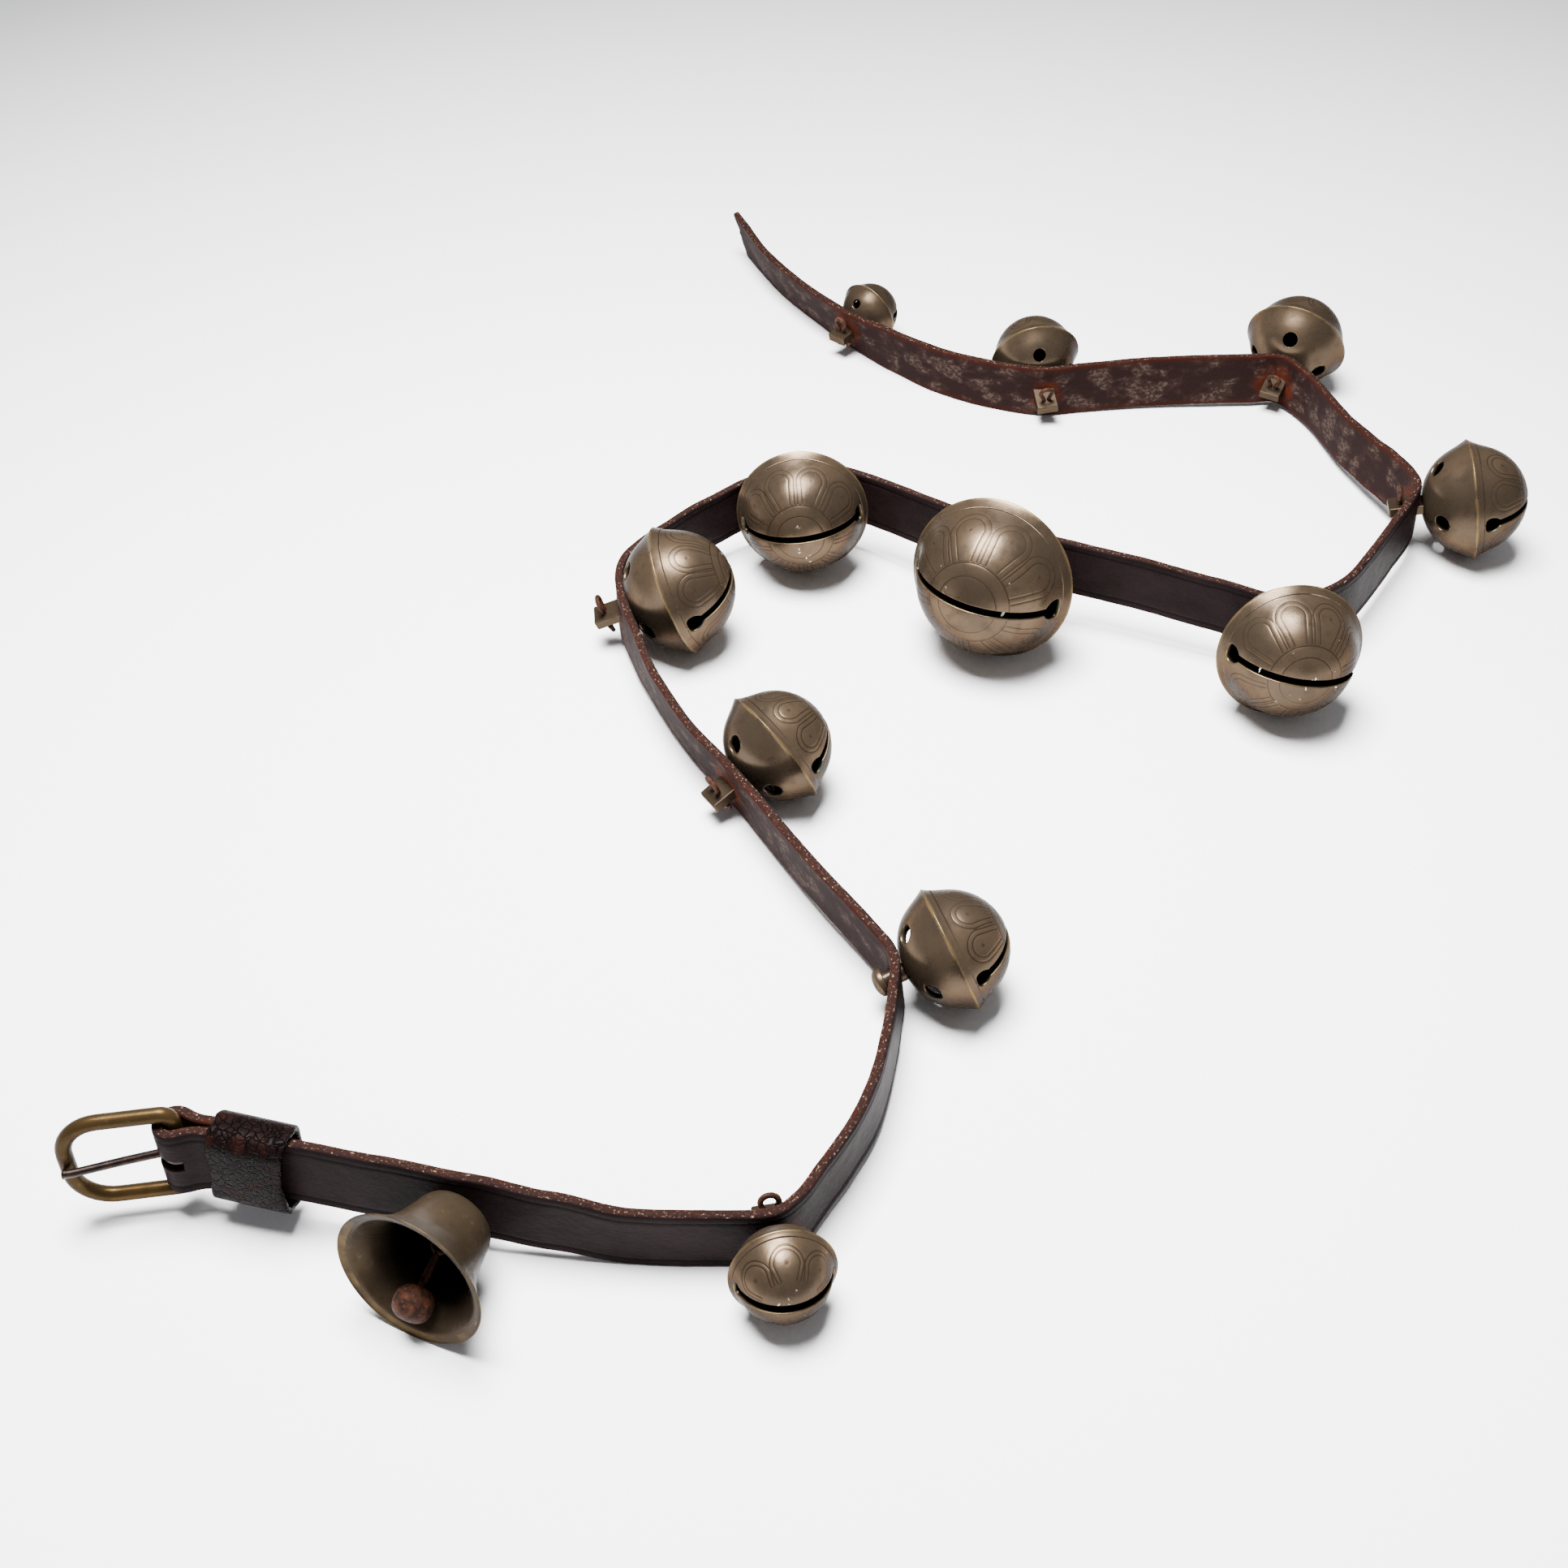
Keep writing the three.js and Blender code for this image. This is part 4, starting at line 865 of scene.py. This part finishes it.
def makeCrotal(number):
    name = "crotal_%02d" % number
    frameOf = bellFrame(number)
    own, along = cadPoints(name) - frameOf[0], alongAxis(name, frameOf)
    radius = np.sqrt(np.maximum(0, (own ** 2).sum(1) - along ** 2)).max()
    points, faces, paint = crotalMesh(radius, number)
    cloud = np.array(points)
    out = np.hypot(cloud[:, 0], cloud[:, 2]) / radius
    paint["rubbed"] = np.maximum(paint["rubbed"], np.exp(-((out - 1) / crotal["rubbed"]) ** 2))
    paint["throat"] = np.exp(-(out / crotal["painted"]) ** 2) * (cloud[:, 1] > 0)
    # verdigris gathers at the holes
    spots, ends, cross = [], ((1, 0), (-1, 0)), ((1, 0), (-1, 0), (0, 1), (0, -1))
    for (angle, share), depth, sides in ((crotal["keyhole"], crotal["mouth"], ends),
                                         (crotal["soundHole"], -crotal["crown"], cross)):
        out, y = crotal["body"] * sin(radians(angle)), depth * cos(radians(angle))
        spots += [(np.array((out * x, y, out * z)) * radius, share * radius) for x, z in sides]
    paint["hole"] = np.zeros(len(cloud))
    for place, size in spots:
        away = np.maximum(np.linalg.norm(cloud - place, axis=1) - size, 0)
        paint["hole"] = np.maximum(paint["hole"], np.exp(-away / (crotal["green"] * radius)))
    piece = makePiece("crotal%02d" % number, (points, faces), frameOf, bellBrass, paint)
    drills = [roundBar([unit(place) * radius * reach for reach in crotal["drill"]], size, sides=28)
              for place, size in spots[len(ends):]]
    # the walls of the drilled holes take painted shade as well as verdigris
    cutAway(piece, makePiece("drill", joined(*drills), frameOf, bellBrass, {"inside": 0.5, "hole": 1}))
    shank = shankMesh(number, crotal["wall"] / 2 - radius * crotal["crown"], along.min())
    block = makePiece("shank", shank, frameOf, bellBrass, {"rubbed": 0.1, "hole": 0.6, "inside": 0.45},
                      smooth=False)
    pair = [piece, block]
    with bpy.context.temp_override(active_object=piece, selected_editable_objects=pair, selected_objects=pair):
        bpy.ops.object.join()
    print(name, len(finishPiece(piece, wholeStrap, "bell_brass", name).data.polygons), "faces")
    return along.min()


shankEnds = {number: makeCrotal(number) for number in crotal["turns"]}

# the cotters: a ring of bent wire beside each shank, its two legs spread on the other side
cotter = {"wire": 2.0, "eye": 2.9, "split": 0.3, "leg": 2.4, "curl": 3.4, "tail": 5.2, "sides": 10,
          "pits": 0.35, "pitSize": 1.5, "pitLevel": 0.6}


# a wire of one shape at each point of the base, its skin pitted by rust
def cotterTree():
    tree, given = newTree("cotterPins", ("Radius", "Pits"), Wire="Object", Sides="Int", Metal="Material")
    wire = add(tree, "ObjectInfo", {"Object": given["Wire"]}, "Geometry")
    line = add(tree, "MeshToCurve", {"Mesh": wire})
    ring = add(tree, "CurvePrimitiveCircle",
               {"Resolution": given["Sides"], "Radius": given["Radius"]})
    rod = add(tree, "CurveToMesh", {"Curve": line, "Profile Curve": ring, "Fill Caps": True})
    return finishTree(tree, scattered(tree, given, rod), given["Metal"], given["Pits"], cotter["pitSize"],
                      level=cotter["pitLevel"])


def makeCotters():
    top, eye, wire, curl = crotal["tab"][1] / 2, cotter["eye"], cotter["wire"], cotter["curl"]
    leg = (wire + cotter["split"]) / 2
    ringMiddle, bend, slant = top + eye + wire, top + cotter["leg"], eye * sqrt(0.5)
    half = [(0, ringMiddle + eye), (slant, ringMiddle + slant), (eye, ringMiddle), (slant, ringMiddle - slant),
            (leg, top), (leg, -top), (leg + wire, -bend), (leg + curl / 2, -bend - wire),
            (leg + curl, -bend + wire)]
    chosen = [(-x, 0, z) for x, z in half[:0:-1]] + [(x, 0, z) for x, z in half]
    pattern = wireObject("cotterRoute", smoothRun(chosen, steps=6))
    pinned = [number for number in shankEnds if number != crotal["riveted"]]
    frames = [bellFrame(number) for number in pinned]
    places = [placed([(0, shankEnds[n] + cotter["tail"], 0)], frameOf)[0] for n, frameOf in zip(pinned, frames)]
    piece = wireObject("cotterPins", places, facing=[turnOf(*frameOf[1:]) for frameOf in frames])
    grow(piece, cotterTree(), {"Radius": wire / 2, "Pits": cotter["pits"]}, Wire=pattern,
         Sides=cotter["sides"], Metal=iron)
    bpy.data.objects.remove(pattern)
    return finishPiece(piece, wholeStrap, "rusty_iron", *("cotter_%02d" % number for number in pinned))


print("cotters", len(makeCotters().data.polygons), "faces")

# domed cap of the one riveted bell, on the back of the strap
cap = {"radius": 5.0, "dome": 0.62, "skirt": 0.4, "foot": 0.96}


def makeCap():
    frameOf = bellFrame(crotal["riveted"])
    own = alongAxis("rivet_cap_02", frameOf)
    seat, end, radius = own.max(), own.min(), cap["radius"]
    rise = (seat - end) * cap["dome"]
    profile = [(radius * sin(a), end + rise * (1 - cos(a))) for a in np.linspace(0, pi / 2, 12)]
    profile += [(radius, seat - cap["skirt"]), (radius * cap["foot"], seat), (0, seat)]
    piece = makePiece("rivetCap", lathe(profile, sides=48), frameOf, bellBrass,
                      {"rubbed": 0.2, "hole": 0.5, "inside": 0.2})
    finishPiece(piece, wholeStrap, "bell_brass", "rivet_cap_02")


makeCap()
print("rivet cap")

# the open bell, its stem through the strap, the burr behind and the clapper that hangs in its eye
openBell = {
    "outside": [(2.2, -28.5), (5.2, -28.35), (8.6, -27.5), (11.3, -25.9), (12.6, -23.6), (13.3, -20.4),
                (14.3, -16.4), (15.6, -12.4), (17.6, -8.4), (20.6, -4.4), (23.2, -1.5), (24.2, -0.55)],
    "rim": [(24.58, -0.2), (24.5, 0.05), (24.1, 0.0), (23.6, -0.35)],
    "wall": 1.6,
    "insideEnd": -0.9,
    "shade": ((-15, -5), (1, 0.1)),  # height, darkness of the inside
    "wear": (0.1, 0.6, 0.1),  # of its outside, rim and inside
    "hanger": 19.0,
    "sides": 128,
    "stem": 1.9,
    "stemHead": 3.2,
    "neckShape": [(0, 0.2), (0.8, 0), (1, -0.8)],  # share of the stem's radius, height
    "headHigh": 1.5,
    "headShape": [(1, 1.45), (0.97, 0.9), (0.75, 0.3), (0.38, 0.02), (0, 0)],  # share of its radius, height
    "stemEye": 2.6,
    "stemWire": 0.95,
    "burr": 5.5,
    "burrGap": 0.3,
    "arm": 21.0,
    "armWire": 0.95,
    "clapperEye": 2.4,
    "bob": 6.15,
    "bobFlat": 0.86,
    "bobSquare": 0.8,  # below one, the bob is more of a barrel than a ball
}


def openFrame():
    hinge = jointPlace("clapper_swing")
    axis = unit(hinge - boxMiddle("stem_burr"))
    across = unit(np.cross(axis, (0, 0, 1)))
    return hinge + axis * openBell["hanger"], across, axis, np.cross(across, axis)


def makeOpenBell():
    bore, sides = openBell["outside"][0][0], openBell["sides"]
    outside = smoothRun(openBell["outside"], steps=4)
    slope = np.gradient(outside, axis=0)
    inward = np.stack([-slope[:, 1], slope[:, 0]], 1)
    inside = (outside + openBell["wall"] * inward / np.linalg.norm(inward, axis=1)[:, None])[::-1]
    inside = np.array([(max(r, bore), y) for r, y in inside if y < openBell["insideEnd"]])
    rim = smoothRun([outside[-1], *openBell["rim"], inside[0]], steps=3)[1:-1]
    # painted shade, darker deeper inside the bell
    shade = np.interp(inside[:, 1], *openBell["shade"])
    dark = np.concatenate([np.zeros(len(outside) + len(rim)), shade])
    bright = np.repeat(openBell["wear"], (len(outside), len(rim), len(inside)))
    piece = makePiece("openBell", lathe([*outside, *rim, *inside], sides, loop=True), openFrame(), openBrass,
                      {"inside": np.repeat(dark, sides), "rubbed": np.repeat(bright, sides)})
    finishPiece(piece, wholeStrap, "bell_brass", "open_bell")


# the stem: an eye inside the bell, a shaft through the leather and a hammered head on its burr
def makeStem():
    frameOf = openFrame()
    end, burr = alongAxis("clapper_stem", frameOf).min(), alongAxis("stem_burr", frameOf)
    stem, head, hanger, eye = (openBell[k] for k in ("stem", "stemHead", "hanger", "stemEye"))
    neck = -hanger - eye
    shaft = [(stem * share, neck + height) for share, height in openBell["neckShape"]]
    shaft += [(stem, end + openBell["headHigh"])]
    shaft += [(head * share, end + height) for share, height in openBell["headShape"]]
    ring = wireRing((0, -hanger, 0), eye, openBell["stemWire"], (0, 1, 0), (0, 0, 1))
    piece = makePiece("clapperStem", joined(lathe(shaft, sides=24), ring), frameOf, iron)
    finishPiece(piece, wholeStrap, "rusty_iron", "clapper_stem")
    low, high, bore, out = burr.min(), burr.max(), stem + openBell["burrGap"], openBell["burr"]
    profile = [(bore, high), (out * 0.96, high), (out, high - 0.25), (out * 0.97, low + 0.5), (out * 0.9, low),
               (bore, low)]
    piece = makePiece("stemBurr", lathe(profile, sides=40, loop=True), frameOf, bellBrass,
                      {"rubbed": 0.4, "hole": 0.4})
    finishPiece(piece, wholeStrap, "bell_brass", "stem_burr")


def blunted(share):
    return copysign(abs(share) ** openBell["bobSquare"], share)


# an iron bob on a short arm
def makeClapper():
    hinge, across = jointPlace("clapper_swing"), unit(joints["clapper_swing"]["axis"])
    own = cadPoints("clapper") - hinge
    reach = np.linalg.norm(own, axis=1)
    bobPoints = own[reach > 0.6 * reach.max()]
    down = (bobPoints.min(0) + bobPoints.max(0)) / 2
    down = unit(down - across * down.dot(across))
    arm, bob, wire, eye = (openBell[k] for k in ("arm", "bob", "armWire", "stemEye"))
    flat = bob * openBell["bobFlat"]
    ball = [(bob * blunted(sin(a)), arm - flat * blunted(cos(a))) for a in np.linspace(0, pi, 31)]
    levels = np.linspace(eye + openBell["clapperEye"], arm - 2, 12)
    rod = roundBar([(0, y, 0) for y in levels], np.linspace(wire, wire * 1.5, len(levels)), sides=14)
    ring = wireRing((0, eye, 0), openBell["clapperEye"], wire, (1, 0, 0), (0, 1, 0))
    frameOf = hinge, across, down, np.cross(across, down)
    piece = makePiece("clapperBob", joined(lathe(ball, sides=44), rod, ring), frameOf, iron)
    finishPiece(piece, "clapper", "rusty_iron", "clapper")


makeOpenBell()
makeStem()
makeClapper()
print("open bell, stem and clapper")

# an iron pellet in each crotal
pellet = {"lumps": 1.2, "lumpSize": 4, "lumpLevel": 0.8}


# a ball at each point of the base, with the lumps of a rough casting
def pelletTree():
    tree, given = newTree("ironPellet", ("Radius", "Lumps"), Metal="Material")
    ball = add(tree, "MeshIcoSphere", {"Radius": given["Radius"], "Subdivisions": 5})
    return finishTree(tree, scattered(tree, given, ball), given["Metal"], given["Lumps"], pellet["lumpSize"],
                      detail=4.0, level=pellet["lumpLevel"])


pellets = pelletTree()
for number in shankEnds:
    node = "pellet_%02d" % number
    low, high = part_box(node)
    piece = wireObject("ironPellet%02d" % number, [boxMiddle(node)])
    grow(piece, pellets, {"Radius": (high[2] - low[2]) / 2 / mm, "Lumps": pellet["lumps"]}, Metal=iron)
    finishPiece(piece, node, "rusty_iron", node)
print("pellets")

# the buckle: a bent frame of round brass and a steel tongue with an eye round its bar
buckle = {"heading": 189, "length": 33.6, "rail": 16.0, "frontCorner": 12.0, "barCorner": 3.5, "wire": 2.5,
          "step": 1.2, "sides": 22, "tongueWire": 1.4, "tongueTip": 2.4, "tongueBow": 1.8, "gap": 0.3,
          "tongueTaper": ((0, 0.6, 0.85, 0.93, 0.97, 1), (1, 0.95, 0.95, 1.2, 1.15, 0.7))}  # share, thickness


def makeBuckle():
    upward = unit(joints["buckle_swing"]["axis"])
    across = unit(np.cross(upward, heading(buckle["heading"])))
    frameOf = jointPlace("buckle_swing"), np.cross(across, upward), across, upward
    length, wire, thick = buckle["length"], buckle["wire"], buckle["tongueWire"]
    front, bar, rail = buckle["frontCorner"], buckle["barCorner"], buckle["rail"]
    corners = ((length - front, rail - front, front, 0), (bar, rail - bar, bar, 90),
               (bar, bar - rail, bar, 180), (length - front, front - rail, front, 270))
    route = [(x, 0, z) for x, z in roundedLoop(corners, buckle["step"])]
    piece = makePiece("buckleLoop", roundBar(route, wire, buckle["sides"], loop=True), frameOf, buckleBrass)
    finishPiece(piece, "buckle_frame", "buckle_brass", "buckle_frame")
    eye = wire + buckle["gap"] + thick
    route = smoothRun([(eye, 0, 0), (length / 2, buckle["tongueBow"], 0), (length - wire, eye, 0),
                       (length + buckle["tongueTip"] - thick, eye, 0)], steps=14)
    radii = thick * np.interp(np.linspace(0, 1, len(route)), *buckle["tongueTaper"])
    shape = joined(roundBar(route, radii, sides=18), wireRing((0, 0, 0), eye, thick, (1, 0, 0), (0, 1, 0)))
    piece = makePiece("tongueWire", shape, frameOf, steel)
    finishPiece(piece, "buckle_tongue", "tongue_steel", "buckle_tongue")


makeBuckle()
print("buckle")

# the keeper: a loop of leather whose front edge has curled in towards its middle
keeper = {"station": 1.12, "heading": -12, "fall": 3.55, "length": 24.5, "deep": 14.7, "high": 31.0,
          "wall": 2.0, "corner": 5.4, "step": 0.9, "rows": 26, "bow": 1.2, "swell": 0.9, "wave": 0.3,
          "waveTurn": 0.35, "front": (3, 3.5)}  # how far out the front starts, and over how much it grows


def keeperFrameOf():
    upward = strapFrame(foldEnd + keeper["station"])[3]
    across = unit(np.cross(upward, heading(keeper["heading"])))
    fall = radians(keeper["fall"])
    ahead = np.cross(across, upward) * cos(fall) - upward * sin(fall)
    return boxMiddle("keeper"), ahead, across, np.cross(ahead, across)


def makeKeeper():
    loop = roundedLoop(rectangleCorners(keeper["deep"], keeper["high"], keeper["corner"]), keeper["step"])
    slope = np.roll(loop, -1, 0) - np.roll(loop, 1, 0)
    outward = np.stack([slope[:, 1], -slope[:, 0]], 1)
    outward /= np.linalg.norm(outward, axis=1)[:, None]
    half, wall = keeper["length"] / 2, keeper["wall"]
    lengthwise = np.linspace(-half + 0.7, half - 0.7, keeper["rows"])
    edge = [(half - 0.3, 0.08), (half - 0.05, 0.35), (half, 0.8), (half - 0.05, wall - 0.5), (half - 0.5, wall)]
    section = [(x, 0.0) for x in lengthwise] + edge + [(x, wall) for x in lengthwise[::-1]]
    section += [(-x, depth) for x, depth in edge[::-1]]
    across, level = loop.T
    start, over = keeper["front"]
    frontness = np.clip((-across - start) / over, 0, 1)
    middling = 1 - np.minimum(1, (level / (keeper["high"] / 2 - 2)) ** 2)
    points = []
    for x, depth in section:
        share = x / half
        bowed = keeper["bow"] * frontness * middling * max(0, share) ** 3
        waved = keeper["wave"] * np.sin(level * keeper["waveTurn"] + across) * share ** 3
        swell = keeper["swell"] * middling * frontness * (1 - share ** 2)
        points.extend(zip(x - bowed + waved, across + outward[:, 0] * (swell - depth),
                          level - outward[:, 1] * depth))
    faces = ringFaces(len(section), len(loop), loop=True)
    piece = makePiece("keeperLoop", (points, faces), keeperFrameOf(), keeperLeather)
    finishPiece(piece, "keeper", "keeper_leather", "keeper")


makeKeeper()
print("keeper")

# the stitching under the keeper that holds the turned-back end; its pitch is in stations of the strap
stitching = {"pitch": 0.24, "long": 2.6, "thick": 0.45, "inset": 4.0, "proud": 0.1, "from": 0.5, "to": 1.1}


# one thick stitch at each point of the base, thinner where it goes into the leather
def stitchTree():
    tree, given = newTree("saddleStitches", ("Length", "Radius"), Thread="Material")
    line = add(tree, "CurvePrimitiveLine", {"Start": (-0.5, 0, 0), "End": (0.5, 0, 0)})
    line = add(tree, "ResampleCurve", {"Curve": line, "Count": 7})
    size = add(tree, "CombineXYZ", (given["Length"], 1.0, 1.0))
    line = add(tree, "Transform", {"Geometry": line, "Scale": size})
    share = add(tree, "SplineParameter")
    off = add(tree, "Math", (share, 0.5), operation="SUBTRACT")
    off = add(tree, "Math", (off,), operation="ABSOLUTE")
    thick = add(tree, "MapRange", (off, 0.25, 0.5, 1.0, 0.3))
    ring = add(tree, "CurvePrimitiveCircle", {"Resolution": 8, "Radius": given["Radius"]})
    strand = add(tree, "CurveToMesh", {"Curve": line, "Profile Curve": ring, "Scale": thick, "Fill Caps": True})
    return finishTree(tree, scattered(tree, given, strand), given["Thread"])


def makeStitches():
    places, facings = [], []
    for station in np.arange(stitching["from"], stitching["to"], stitching["pitch"]):
        place, ahead, side, upward = strapFrame(foldEnd + station)
        for level in (1, -1):
            spot = place + upward * level * (strap["width"] / 2 - stitching["inset"])
            places.append(spot + side * (strap["thickness"] / 2 + stitching["proud"]))
            facings.append(turnOf(ahead, side, np.cross(ahead, side)))
    piece = wireObject("chapeStitches", places, facing=facings)
    grow(piece, stitchTree(), {"Length": stitching["long"], "Radius": stitching["thick"]}, Thread=thread)
    finishPiece(piece, wholeStrap, "strap_leather")


makeStitches()
print("stitches")

# floor, light and camera
stage = {
    "eye": (0, -533.1, 480),  # in the plan's own places
    "pitch": 42,
    "lens": 41.72,
    "sensor": 36.0,
    "floor": "#f1f1f2",
    "floorHalf": 6000,
    "light": {"place": (-0.21, -0.03, 1.3), "aim": (0, -0.15, 0), "size": 0.68, "spread": 100, "watts": 48},
    "room": ("#eef0f5", 0.3),
}


def makeStage():
    paper, tree, _, _ = newMaterial("palePaperFloor")
    coat(tree, {"Base Color": linear(stage["floor"]), "Roughness": 0.6, "Specular IOR Level": 0.2})
    corners = np.array([(-1, -1, 0), (1, -1, 0), (1, 1, 0), (-1, 1, 0)]) * stage["floorHalf"]
    floor = makePiece("floor", (corners, [(0, 1, 2, 3)]), world, paper)
    soft = stage["light"]
    light = bpy.data.lights.new("overheadLight", "AREA")
    light.size, light.energy, light.spread = soft["size"], soft["watts"], radians(soft["spread"])
    lamp = linked("overheadLight", light)
    lamp.location = soft["place"]
    lamp.rotation_euler = (Vector(soft["aim"]) - Vector(soft["place"])).to_track_quat("-Z", "Y").to_euler()
    room = bpy.data.worlds.new("softRoom")
    room.use_nodes = True
    room.node_tree.nodes.clear()
    tint, strength = stage["room"]
    glow = add(room.node_tree, "Background", {"Color": linear(tint), "Strength": strength})
    add(room.node_tree, "OutputWorld", {"Surface": glow})
    bpy.context.scene.world = room
    camera = bpy.data.cameras.new("camera")
    camera.lens, camera.sensor_width = stage["lens"], stage["sensor"]
    camera.clip_start, camera.clip_end = 0.01, 20
    eye = linked("camera", camera)
    eye.location = (np.array(stage["eye"]) + shift[:3]) * mm
    eye.rotation_euler = (radians(90 - stage["pitch"]), 0, 0)
    bpy.context.scene.camera = eye


makeStage()
print("stage ready")
